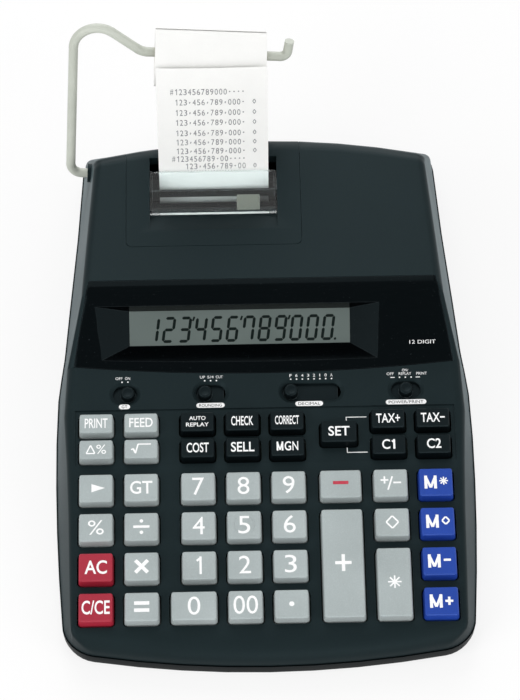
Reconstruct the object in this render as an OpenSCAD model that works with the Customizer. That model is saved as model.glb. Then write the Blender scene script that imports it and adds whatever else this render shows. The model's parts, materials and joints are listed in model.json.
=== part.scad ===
// Desktop printing calculator: two housing shells, a tilted key deck, a hooded display,
// a printer under a lift-off cover, and a paper roll on a wire holder.
// Millimetres. X to the right, Y to the back, Z up, origin on the table under the middle.

/* [Housing] */
// Width of the housing at the seam, at its widest
body_w = 215; // [211:1:221]
// Length of the housing, front to back
body_l = 328; // [324:1:334]
// Height of the seam between the two shells
seam_h = 10; // [9:0.5:11]
// Wall thickness of the shells
wall = 2.4; // [2.1:0.1:2.7]
// Rounding of the long upper edges
edge_r = 5; // [4:0.5:6]
// Radius of the front corners, seen from above
corner_r = 15; // [13:1:18]
// Radius of the rear corners, seen from above
tail_r = 9; // [7:1:12]
// How far the front edge bows out, 100 mm to either side of the middle
front_bow = 10; // [8:0.5:11]
// How far the upper rear edge bows out, 100 mm to either side of the middle
rear_bow = 14.5; // [12:0.5:16]
// Width at the front corners
nose_w = 206; // [204:0.5:208]
// Width at the seam beside the display
neck_w = 207; // [204:0.5:210]
// Width at the seam by the rear corners
tail_w = 190; // [186:0.5:194]
// Height of the rubber feet under the lower shell
foot_h = 2; // [1.5:0.25:3]
// Diameter of a rubber foot
foot_d = 14; // [11:0.5:16]

/* [Deck] */
// Tilt of the key deck
deck_tilt = 8; // [7:0.25:9]
// Height of the deck plane above the front edge
deck_front_h = 20.4; // [19.5:0.1:22]
// Length of the deck, from the front edge to the foot of the display
deck_l = 154.7; // [153:0.5:158]
// Depth of the sunk band around the small keys
band_depth = 0.6; // [0.4:0.1:0.9]

/* [Hood] */
// Slope of the display front
fascia_slope = 39; // [36:0.5:42]
// Level distance from the display's foot to the seam of the top cover
hood_d = 39.8; // [38:0.2:43]
// Height of the top cover at that seam
hood_h = 70; // [68:0.5:72]
// Height of the top cover at its rear edge
top_h = 75; // [74:0.5:77]
// Length of the top cover
top_l = 86.5; // [84:0.5:88]
// Rounding of the nose over the display
crest_r = 9; // [7:0.5:11]
// Rounding of the upper rear edge
rear_r = 11; // [9:0.5:13]

/* [Keys] */
// Width of a plain key at the deck
key_w = 17.8; // [16.5:0.1:18.2]
// Depth of a main key
key_d = 16.2; // [15:0.1:17]
// Depth of a small function key
small_d = 11.5; // [10.5:0.1:11.8]
// Width of the operator keys
wide_w = 21.4; // [20:0.1:22]
// Width of the zero key
zero_w = 23.4; // [22:0.1:24]
// Width of the rate set key
set_w = 19; // [18:0.1:21]
// Depth of the rate set key
set_d = 12.9; // [12:0.1:16]
// Place of the rate set key behind the middle of the two small rows
set_up = 0.6; // [0:0.1:1]
// Height of the key tops above the deck
key_h = 4.6; // [4:0.1:5.2]
// Travel of a key
key_travel = 3; // [2.5:0.1:3.2]
// Gap between a key and its hole, all round
key_gap = 0.5; // [0.4:0.05:0.6]
// Pitch of the columns
col_pitch = 22.85; // [22.4:0.05:23]
// Pitch of the main rows
row_pitch = 21.67; // [21:0.01:22]
// Pitch of the small rows
small_pitch = 14.7; // [14.5:0.05:15.2]
// Distance of the first column from the middle
keys_left = 86.1; // [85.5:0.1:86.5]
// Extra space between the function columns and the digits
digit_gap = 5.9; // [5:0.1:6.5]
// Extra space between the digits and the operators
operator_gap = 3.45; // [3:0.05:4]
// Extra space between the operators and the memory keys
memory_gap = 2.4; // [2:0.1:2.8]
// Distance of the front row from the front edge, along the deck
first_row = 25.4; // [25:0.1:26.5]
// Distance of the lower small row from the front edge, along the deck
small_row = 112.05; // [111.5:0.05:113]

/* [Switches] */
// Distance of the slide switches from the front edge, along the deck
switch_row = 145.3; // [144:0.1:146]
// Diameter of a switch knob
knob_d = 7.2; // [6:0.1:7.6]
// Height of a switch knob above the deck
knob_h = 2; // [1.5:0.1:2.5]
// Distance between two switch positions
switch_step = 3; // [2.6:0.1:3.2]
// Width of the finger dish around a switch
dish_w = 13.7; // [13:0.1:14.5]

/* [Display] */
// Width of the liquid crystal window
lcd_w = 114; // [108:0.5:118]
// Height of the liquid crystal window
lcd_h = 18; // [16:0.25:19]
// Place of the window's middle, from the middle of the housing
lcd_x = -12; // [-14:0.5:-8]
// Depth of the window under the display front
pocket_depth = 9; // [7:0.25:10]

/* [Printer] */
// Place of the printer, from the middle of the housing
printer_x = -24.5; // [-27:0.5:-22]
// Width of the printer cover
cover_w = 91; // [88:0.5:94]
// Distance of the printer cover from the display's seam
cover_inset = 21; // [19:0.5:23]
// Width of the opening in the printer cover
opening_w = 67; // [65:0.5:70]
// Distance of the finger ramp from the display's seam
ramp_y = 31.5; // [30:0.5:33]
// Length of the finger ramp
ramp_d = 11; // [10:0.5:12]
// Depth of the clear window, front to back
window_d = 25; // [24:0.5:26]
// Width of the paper slot behind the clear window
slot_d = 9.3; // [8.5:0.1:10]
// Thickness of the clear window
window_t = 1.6; // [1.2:0.1:2]
// Number of teeth on the tear edge
tear_teeth = 44; // [30:1:60]
// Radius of the platen roller
platen_r = 6; // [5:0.25:6.5]
// Diameter of the platen shaft and of the carriage rod
shaft_d = 4; // [3:0.25:4.5]
// Radial running clearance of shafts
shaft_gap = 0.06; // [0.04:0.01:0.1]

/* [Paper] */
// Width of the paper
paper_w = 57.5; // [56:0.5:58]
// Thickness of the paper strip
paper_t = 0.3; // [0.2:0.05:0.4]
// Lean of the paper strip from upright
paper_lean = 14; // [12:0.5:16]
// Length of the paper strip above the tear edge
strip_l = 64; // [40:1:66]
// Diameter of the paper roll
roll_d = 30; // [24:0.5:32]
// Bore of the roll's core
core_d = 12; // [11:0.25:14]

/* [Holder] */
// Diameter of the holder wire
wire_d = 5; // [4:0.25:5.5]
// Lean of the holder from the level
arm_lean = 75; // [72:0.5:80]
// How far the spindle droops
arm_droop = 3.6; // [2:0.1:4.5]
// Place of the holder's leg, from the middle of the housing
arm_x = -100.3; // [-102:0.1:-99.5]
// Height of the holder's peg
arm_z = 57.1; // [55:0.1:59]
// Distance of the holder's peg in front of the upper rear edge
arm_back = 4.9; // [4:0.1:8]
// Length of the leg up to the arch
leg_l = 80.7; // [79:0.1:84]
// Radius of the arch
arch_r = 12.5; // [11:0.25:14]
// Height of the spindle above the peg
spindle_h = 79.5; // [78.5:0.1:81]

/* [Hidden] */
$fn = 48;

// Clearances and thicknesses of inner pieces
fit_gap = 0.3;
seam_gap = 0.3;
floor_t = 2;
foot_sink = 1;
lip_h = 1.5;
rim_proud = 0.7;
rim_round = 2;
nose_r = 9;
rim_bow = 9;
cheek_w = 3.2;
tab_gap = 0.4;
tab_t = 1.2;
tab_w = 6;
tab_reach = 0.6;
key_skirt = wall + tab_gap + tab_t;
key_r = 1.9;
key_flare = 0.5;
function tab_l(k) = k[4] + key_flare + 2 * (key_gap + tab_reach);
stem_d = 4;
board_t = 1.6;
mat_t = 1;

// Main places along the housing
front_y = -body_l / 2;
back_y = body_l / 2;
fascia_y = front_y + deck_l;
hood_y = fascia_y + hood_d;
rear_y = hood_y + top_l;
nose_y = front_y + corner_r;
tail_y = back_y - tail_r;
wide_y = (front_y + fascia_y) / 2 + 48;

function deck_z(y) = deck_front_h + (y - front_y) * tan(deck_tilt);
hood_rise = (top_h - hood_h) / top_l;
hood_tilt = atan(hood_rise);
function hood_z(y) = hood_h + (y - hood_y) * hood_rise;

// Half width of the housing on the seam, drawn in by i
function line_w(y) = neck_w / 2 + (y - hood_y) / (back_y - hood_y) * (tail_w - neck_w) / 2;
function ease(t) = t * t * (3 - 2 * t);
function side_w(y) =
    y < wide_y ? body_w / 2 - (body_w - nose_w) / 2 * pow((wide_y - y) / (wide_y - nose_y), 2) :
    y > hood_y ? line_w(y) :
    let (t = ease((y - wide_y) / (hood_y - wide_y))) (1 - t) * body_w / 2 + t * line_w(y);
function arc_w(r, i, f) = sqrt(max(0, pow(r - i, 2) - f * f)) - r;
function half_w(y, i) =
    y < nose_y ? side_w(nose_y) + arc_w(corner_r, i, nose_y - y) :
    y > tail_y ? side_w(tail_y) + arc_w(tail_r, i, y - tail_y) :
    side_w(y) - i;
function inset_y(y, i) =
    y < nose_y ? nose_y - (nose_y - y) * (corner_r - i) / corner_r :
    y > tail_y ? tail_y + (y - tail_y) * (tail_r - i) / tail_r : y;

// Half width of the upper edge, and how far each station bows
function top_w(y) = lookup(y, [
    [nose_y, nose_w / 2 - 4.5],
    [wide_y - 40, body_w / 2 - 7.7],
    [wide_y + 5, body_w / 2 - 5],
    [fascia_y, body_w / 2 - 6.5],
    [hood_y - 6, neck_w / 2 - 11],
    [rear_y, tail_w / 2 - 8.4],
]);
function bow(y) = lookup(y, [
    [front_y, front_bow],
    [fascia_y, front_bow * 0.54],
    [hood_y - 10, 0],
    [hood_y + 10, 0],
    [rear_y, -rear_bow],
    [back_y, -rim_bow],
]) / 10000;

// Corner b of the path a, b, c as an arc of radius r in n steps
function unit(v) = v / norm(v);
function turn(a) = a - 360 * floor((a + 180) / 360);
function fillet(a, b, c, r, n) =
    let (u = unit(a - b), v = unit(c - b), half = acos(u * v) / 2)
    let (m = b + unit(u + v) * r / sin(half))
    let (p = b + u * r / tan(half) - m, q = b + v * r / tan(half) - m)
    let (from = atan2(p.y, p.x), sweep = turn(atan2(q.y, q.x) - from))
    [for (k = [0 : n]) m + r * [cos(from + sweep * k / n), sin(from + sweep * k / n)]];

// Stations of the upper shell, front to back, each the height of its middle line
nose_top = seam_h + lip_h;
function nose_z(y) =
    let (u = 1 - min(1, (y - front_y) / nose_r))
    nose_top + (deck_z(y) - nose_top) * sqrt(1 - u * u);
foot_pt = [fascia_y, deck_z(fascia_y)];
crest_run = (hood_h - foot_pt.y - hood_d * hood_rise) / (tan(fascia_slope) - hood_rise);
crest_pt = foot_pt + crest_run * [1, tan(fascia_slope)];
rear_pt = [rear_y, top_h];
tail_pt = [back_y, nose_top];
function on_tail(y) = rear_pt + (tail_pt - rear_pt) * (y - rear_y) / (back_y - rear_y);
STATIONS = concat(
    [for (a = [0 : 11.25 : 90]) let (y = nose_y - corner_r * cos(a)) [y, nose_z(y)]],
    [for (f = [0.2 : 0.2 : 0.8]) let (y = nose_y + f * (fascia_y - nose_y)) [y, deck_z(y)]],
    [foot_pt, (foot_pt + crest_pt) / 2],
    fillet(foot_pt, crest_pt, rear_pt, crest_r, 5),
    [for (f = [0, 0.35, 0.7]) let (y = hood_y + f * top_l) [y, hood_z(y)]],
    fillet(crest_pt, rear_pt, tail_pt, rear_r, 6),
    [on_tail((rear_y + tail_y) / 2)],
    [for (a = [0 : 22.5 : 90]) on_tail(tail_y + tail_r * sin(a))]
);

// One ring of the loft: right foot, rounded edge, top, left edge, left foot, then the floor
EDGE = 4;
SPANS = 4;
function full_h(y, h) =
    y < fascia_y ? deck_z(y) - seam_h : y > hood_y ? hood_z(y) - seam_h : h;
function edge_round(y) = lookup(y, [[front_y, 1.2], [nose_y, edge_r * 0.7], [wide_y, edge_r]]);
function half_ring(y, z, i, low) =
    let (w = half_w(inset_y(y, i), i), h = z - low, top = min(w - 0.8, top_w(y) - i))
    let (x = w - (w - top) * min(1, max(0, (z - seam_h) / full_h(y, z - seam_h))))
    let (r = min(max(edge_round(y) - i / 2, 0.8), h * 0.4))
    concat([[w, low]], fillet([w, low], [x, z], [0, z], r, EDGE));
function ring(k, i, low) =
    let (y = STATIONS[k].x, drop = i == 0 ? 0 : i / max(cos(slope_at(k)), 0.42))
    let (z = max(STATIONS[k].y - drop, low + 0.5), side = half_ring(y, z, i, low))
    let (xe = side[EDGE + 1].x, w = side[0].x)
    let (over = [for (s = [SPANS - 1 : -1 : 1 - SPANS]) [xe * s / SPANS, z]])
    let (left = [for (j = [EDGE + 1 : -1 : 0]) [-side[j].x, side[j].y]])
    let (under = [for (s = [1 - SPANS : SPANS - 1]) [w * s / SPANS, low]])
    [for (p = concat(side, over, left, under)) warp(p, inset_y(y, i), z, low)];
function warp(p, y, z, low) =
    let (b = bow(y) * p.x * p.x, rise = y < hood_y - 10 ? tan(deck_tilt) : hood_rise)
    [p.x, y + b, p.y + (y > rear_y ? 0 : rise * b * (p.y - low) / (z - low))];
function slope_at(k) =
    let (a = STATIONS[max(k - 1, 0)], b = STATIONS[min(k + 1, len(STATIONS) - 1)])
    atan2(abs(b.y - a.y), b.x - a.x);

// The housing's form drawn in by i, between the stations from y0 to y1
module form(i = 0, y0 = front_y, y1 = back_y, low = seam_h) {
    ks = [for (k = [0 : len(STATIONS) - 1]) if (STATIONS[k].x >= y0 && STATIONS[k].x <= y1) k];
    m = 2 * (EDGE + 2) + 2 * (2 * SPANS - 1);
    rows = len(ks) - 1;
    mid = EDGE + 1 + SPANS;
    skin = [for (k = [0 : rows - 1], j = [0 : m - 1])
        let (a = k * m + j, b = k * m + (j + 1) % m)
        each [[a, b, a + m], [b, b + m, a + m]]];
    function tip(s) = s == SPANS ? 0 : s == -SPANS ? 2 * mid : m - SPANS + s;
    function cap(flip, o) = [for (s = [-SPANS : SPANS - 1])
        let (t0 = mid - s + o, t1 = mid - s - 1 + o, b0 = tip(s) + o, b1 = tip(s + 1) + o)
        each [turned([t0, t1, b0], flip), turned([t1, b1, b0], flip)]];
    function fan(flip, o) = [for (j = [1 : EDGE])
        each [turned([o, o + j + 1, o + j], flip),
              turned([o + 2 * mid, o + 2 * mid - j, o + 2 * mid - j - 1], flip)]];
    function turned(f, flip) = flip ? [f[0], f[2], f[1]] : f;
    polyhedron(
        points = [for (k = ks) each ring(k, i, low)],
        faces = concat(skin, cap(false, 0), fan(false, 0), cap(true, rows * m), fan(true, rows * m)));
}

// Outline of the housing from above, drawn in by i
function plan(i) =
    let (right = [for (s = STATIONS) let (y = inset_y(s.x, i)) [half_w(y, i), y]])
    let (n = len(right) - 1, back = right[n], front = right[0])
    let (rear = [for (s = [SPANS - 1 : -1 : 1 - SPANS]) [back.x * s / SPANS, back.y]])
    let (fore = [for (s = [1 - SPANS : SPANS - 1]) [front.x * s / SPANS, front.y]])
    [for (p = concat(right, rear, [for (k = [n : -1 : 0]) [-right[k].x, right[k].y]], fore))
        [p.x, p.y + bow(p.y) * p.x * p.x]];

// Frames that the pieces are set out in
module deck() translate([0, front_y, deck_front_h]) rotate([deck_tilt, 0, 0]) children();
module hood() translate([0, hood_y, hood_h]) rotate([hood_tilt, 0, 0]) children();
module along_x(x0, x1) translate([x0, 0, 0]) rotate([90, 0, 90]) linear_extrude(x1 - x0) children();
module rounded(w, d, r) {
    square([w - 2 * r, d], center = true);
    square([w, d - 2 * r], center = true);
    for (x = [r - w / 2, w / 2 - r], y = [r - d / 2, d / 2 - r]) translate([x, y]) circle(r);
}

// Keys: name, column middle, row middle, width, depth, colour
COLS = let (b = -keys_left + col_pitch, c = b + col_pitch + digit_gap, e = c + 2 * col_pitch)
    let (f = e + col_pitch + operator_gap, g = f + col_pitch + memory_gap)
    [-keys_left, b, c, c + col_pitch, e, f, g, g + col_pitch];
ROWS = [for (k = [3 : -1 : 0]) first_row + k * row_pitch];
row_b = small_row;
row_a = small_row + small_pitch;
grey = "#aab2b2";
black = "#1c2022";
red = "#b8283c";
blue = "#2846b4";
function small(name, col, row, c = black) = [name, COLS[col], row, key_w, small_d, c];
function main(name, col, row, c = grey) = [name, COLS[col], ROWS[row], key_w, key_d, c];
plus_y = (ROWS[1] + ROWS[3]) / 2;
total_y = (ROWS[2] + ROWS[3]) / 2;
KEYS = [
    small("key_print", 0, row_a, grey), small("key_feed", 1, row_a, grey),
    small("key_replay", 2, row_a), small("key_check", 3, row_a), small("key_correct", 4, row_a),
    ["key_set", COLS[5], (row_a + row_b) / 2 + set_up, set_w, set_d, black],
    small("key_tax_plus", 6, row_a), small("key_tax_minus", 7, row_a),
    small("key_delta_percent", 0, row_b, grey), small("key_root", 1, row_b, grey),
    small("key_cost", 2, row_b), small("key_sell", 3, row_b), small("key_margin", 4, row_b),
    small("key_rate_1", 6, row_b), small("key_rate_2", 7, row_b),
    main("key_backspace", 0, 0), main("key_grand_total", 1, 0),
    main("key_7", 2, 0), main("key_8", 3, 0), main("key_9", 4, 0),
    ["key_minus", COLS[5], ROWS[0], wide_w, key_d, grey],
    main("key_sign", 6, 0), main("key_memory_total", 7, 0, blue),
    main("key_percent", 0, 1), main("key_divide", 1, 1),
    main("key_4", 2, 1), main("key_5", 3, 1), main("key_6", 4, 1),
    ["key_plus", COLS[5], plus_y, wide_w, 2 * row_pitch + key_d, grey],
    main("key_subtotal", 6, 1), main("key_memory_subtotal", 7, 1, blue),
    main("key_all_clear", 0, 2, red), main("key_multiply", 1, 2),
    main("key_1", 2, 2), main("key_2", 3, 2), main("key_3", 4, 2),
    ["key_total", COLS[6], total_y, key_w, row_pitch + key_d, grey],
    main("key_memory_minus", 7, 2, blue),
    main("key_clear", 0, 3, red), main("key_equals", 1, 3),
    ["key_0", COLS[2] + (key_w - zero_w) / 2, ROWS[3], zero_w, key_d, grey],
    main("key_00", 3, 3), main("key_point", 4, 3), main("key_memory_plus", 7, 3, blue),
];

// Slide switches: name, middle of the slot, steps, step at rest
SWITCHES = [
    ["switch_grand_total", -71.6, 1, 1],
    ["switch_rounding", -27.5, 2, 0],
    ["switch_decimal", 24.25, 7, 0],
    ["switch_power", 72.75, 2, 1],
];
slot_spare = 2.2;
slot_side = 1.4;
slot_w = knob_d + 2 * slot_side;
dish_h = 1.1;
plate_t = 1;
plate_lap = 2;
plate_short = 3.2;
plate_side = 1.5;
function slot_l(s) = s[2] * switch_step + knob_d + slot_spare;
function slider_l(s) = slot_l(s) + max(2 * plate_lap, s[2] * switch_step - plate_short);
function knob_x(s) = s[1] + (s[3] - s[2] / 2) * switch_step;

// Depths under the deck plane
mat_top = key_skirt + key_travel + stem_d / 4 - 0.1;
stem_end = mat_top - fit_gap;
board_top = stem_end + key_travel + 0.4;

// Printer places, in the side view
paper_x = printer_x + 0.4;
tear_y = ramp_y + ramp_d + window_d;
slot_back = tear_y + slot_d;
ramp_drop = 4;
tear_rise = 2;
function from_hood(y, z) = [hood_y + y * cos(hood_tilt) - z * sin(hood_tilt),
                            hood_h + y * sin(hood_tilt) + z * cos(hood_tilt)];
tear_pt = from_hood(tear_y, tear_rise);
up = [sin(paper_lean), cos(paper_lean)];
aft = [cos(paper_lean), -sin(paper_lean)];
strip_pt = tear_pt + (0.8 + paper_t / 2) * aft;
platen_drop = 20;
wrap_r = platen_r + fit_gap + paper_t / 2;
platen_pt = strip_pt - platen_drop * up + wrap_r * aft;
rod_pt = [platen_pt.x - 17, platen_pt.y + 4];
frame_in = opening_w / 2 + 3;
frame_t = 2;
frame_floor = platen_pt.y - 27;

// Holder places
bend_r = 6;
peg_l = 20;
socket_gap = 0.15;
arch_turn = 126;
dip = arch_turn - 90;
dip_r = 10;
arch_end = [arch_r * (1 + sin(dip)), leg_l + arch_r * cos(dip)];
dip_start = spindle_h + dip_r * (1 - cos(dip));
dip_l = (arch_end.y - dip_start) / sin(dip);
spindle_x = arch_end.x + dip_l * cos(dip) + dip_r * sin(dip);
spindle_l = paper_w + 10.6;
tip_r = 4;
tip_turn = 85;
tip_l = 5.9;
bend_swell = 0.1;
roll_x = spindle_x + 3.4 + paper_w / 2;
roll_hang = core_d / 2 - wire_d / 2 - fit_gap;
core_t = 1.5;
arm_y = rear_y - arm_back;
module holder() translate([arm_x, arm_y, arm_z])
    rotate([arm_lean, 0, 0]) rotate([0, 0, -arm_droop]) children();
roll_up = (spindle_h - roll_hang) * cos(arm_droop) - roll_x * sin(arm_droop);
roll_pt = [arm_y + roll_up * cos(arm_lean), arm_z + roll_up * sin(arm_lean)];

// Screw posts: in the nose, beside the power switch and under the rear slope
post_d = 6;
screw_d = 3;
head_d = 6;
head_sink = 4;
boss_d = head_d + wall;
power = SWITCHES[3];
switch_end = power[1] + switch_step + slider_l(power) / 2;
nose_post = [51, front_y + 12];
deck_post = [switch_end + 1 + post_d / 2 + fit_gap, fascia_y - 3];
tail_post = [74, back_y - 22];
POSTS = [nose_post, deck_post, tail_post];

// Boards: the key board follows the keys, the main board lies between the screw posts
board_side = 3.9;
board_end = 8.4;
board_x = COLS[0] - board_side;
board_y = first_row - board_end;
board_w = COLS[7] + board_side - board_x;
board_l = row_a + board_end - board_y;
main_board_w = 2 * (deck_post.x - boss_d / 2 - 2);
main_board_l = 62;
main_board_y = fascia_y - 10;
floor_z = foot_h + floor_t;
standoff_h = 4;
standoff_d = 5;
main_board_z = floor_z + standoff_h;
pillar_d = 6;

// Power inlet in the rear slope
inlet_x = 52;
inlet_z = 22;
jack_d = 5.5;
jack_w = 10;
jack_h = 7.4;
jack_l = 11;
tail_cot = (back_y - rear_y) / (top_h - nose_top);
inlet_run = rear_y + (top_h - inlet_z - jack_h / 2) * tail_cot;
jack_end = inlet_x + jack_w / 2;
inlet_y = inlet_run + bow(inlet_run) * jack_end * jack_end - wall * norm([1, tail_cot]) - 2 * fit_gap;
module inlet_place() translate([inlet_x, inlet_y, inlet_z]) rotate([90, 0, 0]) children();
panel_w = 30;
panel_top = 50;
panel_y = rear_y + 3;
module panel_space(g) translate([inlet_x - panel_w / 2 - g, panel_y + 1.5, seam_h - 1])
    cube([panel_w + 2 * g, body_l, panel_top + g - seam_h + 1]);
front_foot = [80, front_y + 40];
rear_foot = [tail_post.x, back_y - 38];
FEET = [front_foot, rear_foot];

// Lower shell: a shallow tray with screw wells, and posts for the boards, the printer and the power jack,
// with the plate that closes the rear wall round the jack
module base_shell() color("#15191b") {
    lower_tray();
    jack_plate();
}
module jack_plate() difference() {
    intersection() {
        form(y0 = panel_y);
        panel_space(0);
    }
    form(i = wall, y0 = panel_y, low = seam_h - 1);
    inlet_place() cylinder(d = jack_d + 3, h = 60, center = true);
}
module lower_tray() difference() {
    union() {
        difference() {
            tray();
            translate([0, 0, floor_z]) linear_extrude(seam_h) polygon(plan(wall + 1));
        }
        for (x = [-1, 1], p = POSTS) translate([x * p.x, p.y, foot_h])
            cylinder(d = boss_d, h = seam_h - seam_gap - foot_h);
        for (x = [-1, 0, 1], y = [main_board_y + 15, main_board_y + main_board_l - 12])
            translate([x * (main_board_w / 2 - 14), y, foot_h])
                cylinder(d = standoff_d, h = main_board_z - fit_gap - foot_h);
        for (x = [-1, 1], y = [frame_y0 + 13, frame_y0 + frame_len - 2])
            translate([printer_x + x * (frame_in - 4), y, foot_h])
                cylinder(d = pillar_d, h = frame_floor - fit_gap - foot_h);
        for (c = [0, 3, 6], y = [(ROWS[2] + ROWS[3]) / 2, (ROWS[0] + row_b) / 2])
            board_post((COLS[c] + COLS[c + 1]) / 2, y);
        translate([inlet_x, inlet_y - jack_l / 2, foot_h])
            cylinder(d = pillar_d, h = inlet_z - jack_h / 2 - fit_gap - foot_h);
    }
    for (x = [-1, 1], p = POSTS) translate([x * p.x, p.y, 0]) {
        cylinder(d = screw_d + 0.4, h = seam_h);
        cylinder(d = head_d, h = foot_h + head_sink);
    }
    for (x = [-1, 1], p = FEET) translate([x * p.x, p.y, 0])
        cylinder(d = foot_d + 2 * fit_gap, h = foot_h + foot_sink);
}
module tray() {
    rings = [[rim_round, foot_h], [rim_round / 8, foot_h + 1], [-rim_proud / 2, seam_h / 2],
             [-rim_proud, seam_h - seam_gap]];
    m = len(plan(0));
    last = len(rings) - 1;
    walls = [for (k = [0 : last - 1], j = [0 : m - 1])
        let (a = k * m + j, b = k * m + (j + 1) % m) each [[a, a + m, b], [b, a + m, b + m]]];
    polyhedron(
        points = [for (r = rings) for (p = plan(r[0])) [p.x, p.y, r[1]]],
        faces = concat(walls, [[for (j = [0 : m - 1]) j]], [[for (j = [m - 1 : -1 : 0]) last * m + j]]));
}
module board_post(x, y) {
    top = deck_front_h + y * sin(deck_tilt) - (board_top + board_t) * cos(deck_tilt);
    translate([x, front_y + y * cos(deck_tilt) + board_top * sin(deck_tilt), foot_h])
        cylinder(d = standoff_d, h = top - fit_gap - standoff_d / 2 * tan(deck_tilt) - foot_h);
}

// Upper shell: the deck, the cheeks beside the display and the top cover
module top_shell() color("#2a3236") difference() {
    union() {
        difference() {
            form();
            form(i = wall, low = seam_h - 1);
            translate([0, 0, seam_h + 2]) linear_extrude(top_h) polygon(fascia_plan(-fit_gap));
            cover_prism(fit_gap);
        }
        cover_ledge();
        for (x = [-1, 1], p = POSTS) translate([x * p.x, p.y, seam_h])
            cylinder(d = post_d, h = post_top(p) - seam_h);
        holder() translate([bend_r + 3, 0, 0]) rotate([0, 90, 0])
            cylinder(d = wire_d + 5, h = peg_l - bend_r - 2);
    }
    deck() {
        translate([0, 0, -key_skirt - key_travel - 1]) linear_extrude(2 * key_skirt + key_travel + 1)
            for (k = KEYS) translate([k[1], k[2]])
                rounded(k[3] + key_flare + 2 * key_gap, k[4] + key_flare + 2 * key_gap, key_r + key_gap);
        translate([0, 0, -key_skirt - key_travel - 1]) linear_extrude(tab_t + tab_gap / 2 + key_travel + 1)
            for (k = KEYS) translate([k[1], k[2]])
                square([tab_w + 2 * key_gap, tab_l(k) + 2 * key_gap], center = true);
        translate([0, (row_a + row_b) / 2 + 1.2, -band_depth]) linear_extrude(2)
            square([2 * (COLS[7] + key_w / 2 + 2.7), small_pitch + small_d + 5.1], center = true);
        for (s = SWITCHES) translate([s[1], switch_row, 0]) {
            linear_extrude(20, center = true) rounded(slot_l(s), slot_w, slot_w / 2 - 0.01);
            hull() for (x = [-1, 1]) translate([x * (slot_l(s) - slot_w) / 2, 0, -dish_h])
                cylinder(d1 = slot_w, d2 = dish_w + 0.4, h = dish_h + 0.1, $fn = 32);
        }
    }
    for (x = [-1, 1], p = POSTS) translate([x * p.x, p.y, seam_h - 1])
        cylinder(d = screw_d - 0.4, h = 8);
    holder() translate([-bend_r, 0, 0]) rotate([0, 90, 0])
        cylinder(d = wire_d + 2 * socket_gap, h = peg_l + bend_r + 2 * fit_gap);
    panel_space(fit_gap);
}
function skin_z(y) =
    y < nose_y ? nose_z(y) : y < fascia_y ? deck_z(y) :
    y < crest_pt.x ? foot_pt.y + (y - fascia_y) * tan(fascia_slope) :
    y < rear_y ? hood_z(y) : on_tail(y).y;
function post_top(p) =
    let (y = p.y - bow(p.y) * p.x * p.x)
    min(skin_z(y - post_d / 2), skin_z(y + post_d / 2)) - wall / 2;

// Plan of the display between its cheeks, grown by g
function fascia_plan(g) =
    let (w0 = top_w(fascia_y) - cheek_w - g, w1 = top_w(hood_y) - cheek_w - g)
    let (n = 10, y0 = fascia_y + g)
    concat([for (k = [-n : n]) let (x = w0 * k / n) [x, y0 + bow(fascia_y) * x * x]],
        [[w1, hood_y - g], [-w1, hood_y - g]]);

// Plan of the printer cover, grown by g, as a prism that leans the way the cover lifts off
cover_front = hood_y + cover_inset;
cover_back = rear_y + 22;
cover_rise = hood_z(cover_front);
cover_l = (cover_back - cover_front) * aft.x + (on_tail(cover_back).y - cover_rise) * aft.y;
cover_r = 3;
prism_below = 40;
prism_above = 30;
module cover_prism(g) translate([printer_x, cover_front, cover_rise]) rotate([-paper_lean, 0, 0])
    translate([0, cover_l / 2, -prism_below]) linear_extrude(prism_below + prism_above)
        rounded(cover_w + 2 * g, cover_l + 2 * g, cover_r + g);

// Ledge under the printer cover's front and side edges
module cover_ledge() hood() {
    y0 = cover_inset - 4;
    y1 = top_l - rear_r;
    half = cover_w / 2;
    ledge = 6.5;
    under = -wall - fit_gap - 1;
    for (m = [-1, 1]) translate([printer_x + m * (half + 0.75), (y0 + y1) / 2, under])
        cube([ledge, y1 - y0, 2], center = true);
    translate([printer_x, y0 + 3.2, under]) cube([cover_w, 6.4, 2], center = true);
    for (m = [-1, 1]) translate([printer_x + m * (half + fit_gap + 1.4), (y0 + y1) / 2, -wall])
        cube([2.4, y1 - y0, 1.2], center = true);
    translate([printer_x, y0 + 1.6, -wall]) cube([cover_w + 5, 2.4, 1.2], center = true);
}

// Display: a glossy moulding with a deep pocket, and the liquid crystal glass at its bottom
module fascia_frame() translate([0, fascia_y, foot_pt.y]) rotate([fascia_slope, 0, 0]) children();
fascia_l = norm(crest_pt - foot_pt);
lcd_y = fascia_l * 0.53;
glass_t = 1.5;
module display_unit() {
    color("#0c0d0f") difference() {
        intersection() {
            form(y0 = fascia_y - 40, y1 = hood_y + 35);
            translate([0, 0, seam_h + 5]) linear_extrude(top_h) polygon(fascia_plan(0));
            fascia_frame() translate([-body_w / 2, -10, -pocket_depth - 3]) cube([body_w, 80, 40]);
        }
        fascia_frame() hull() {
            translate([lcd_x, lcd_y, -pocket_depth]) cube([lcd_w, lcd_h, 0.02], center = true);
            translate([lcd_x - 1.5, lcd_y - 2.5, 0]) cube([lcd_w + 33, lcd_h + 11.5, 0.02], center = true);
            translate([lcd_x - 1.5, lcd_y - 2.5, 4]) cube([lcd_w + 36, lcd_h + 11.5, 0.02], center = true);
        }
        fascia_frame() translate([lcd_x, lcd_y, -pocket_depth])
            cube([lcd_w + 0.2, lcd_h + 0.2, 2 * glass_t + 0.2], center = true);
    }
    color("#6e7873") fascia_frame() translate([lcd_x, lcd_y, -pocket_depth - glass_t / 2])
        cube([lcd_w, lcd_h, glass_t], center = true);
}

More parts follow.
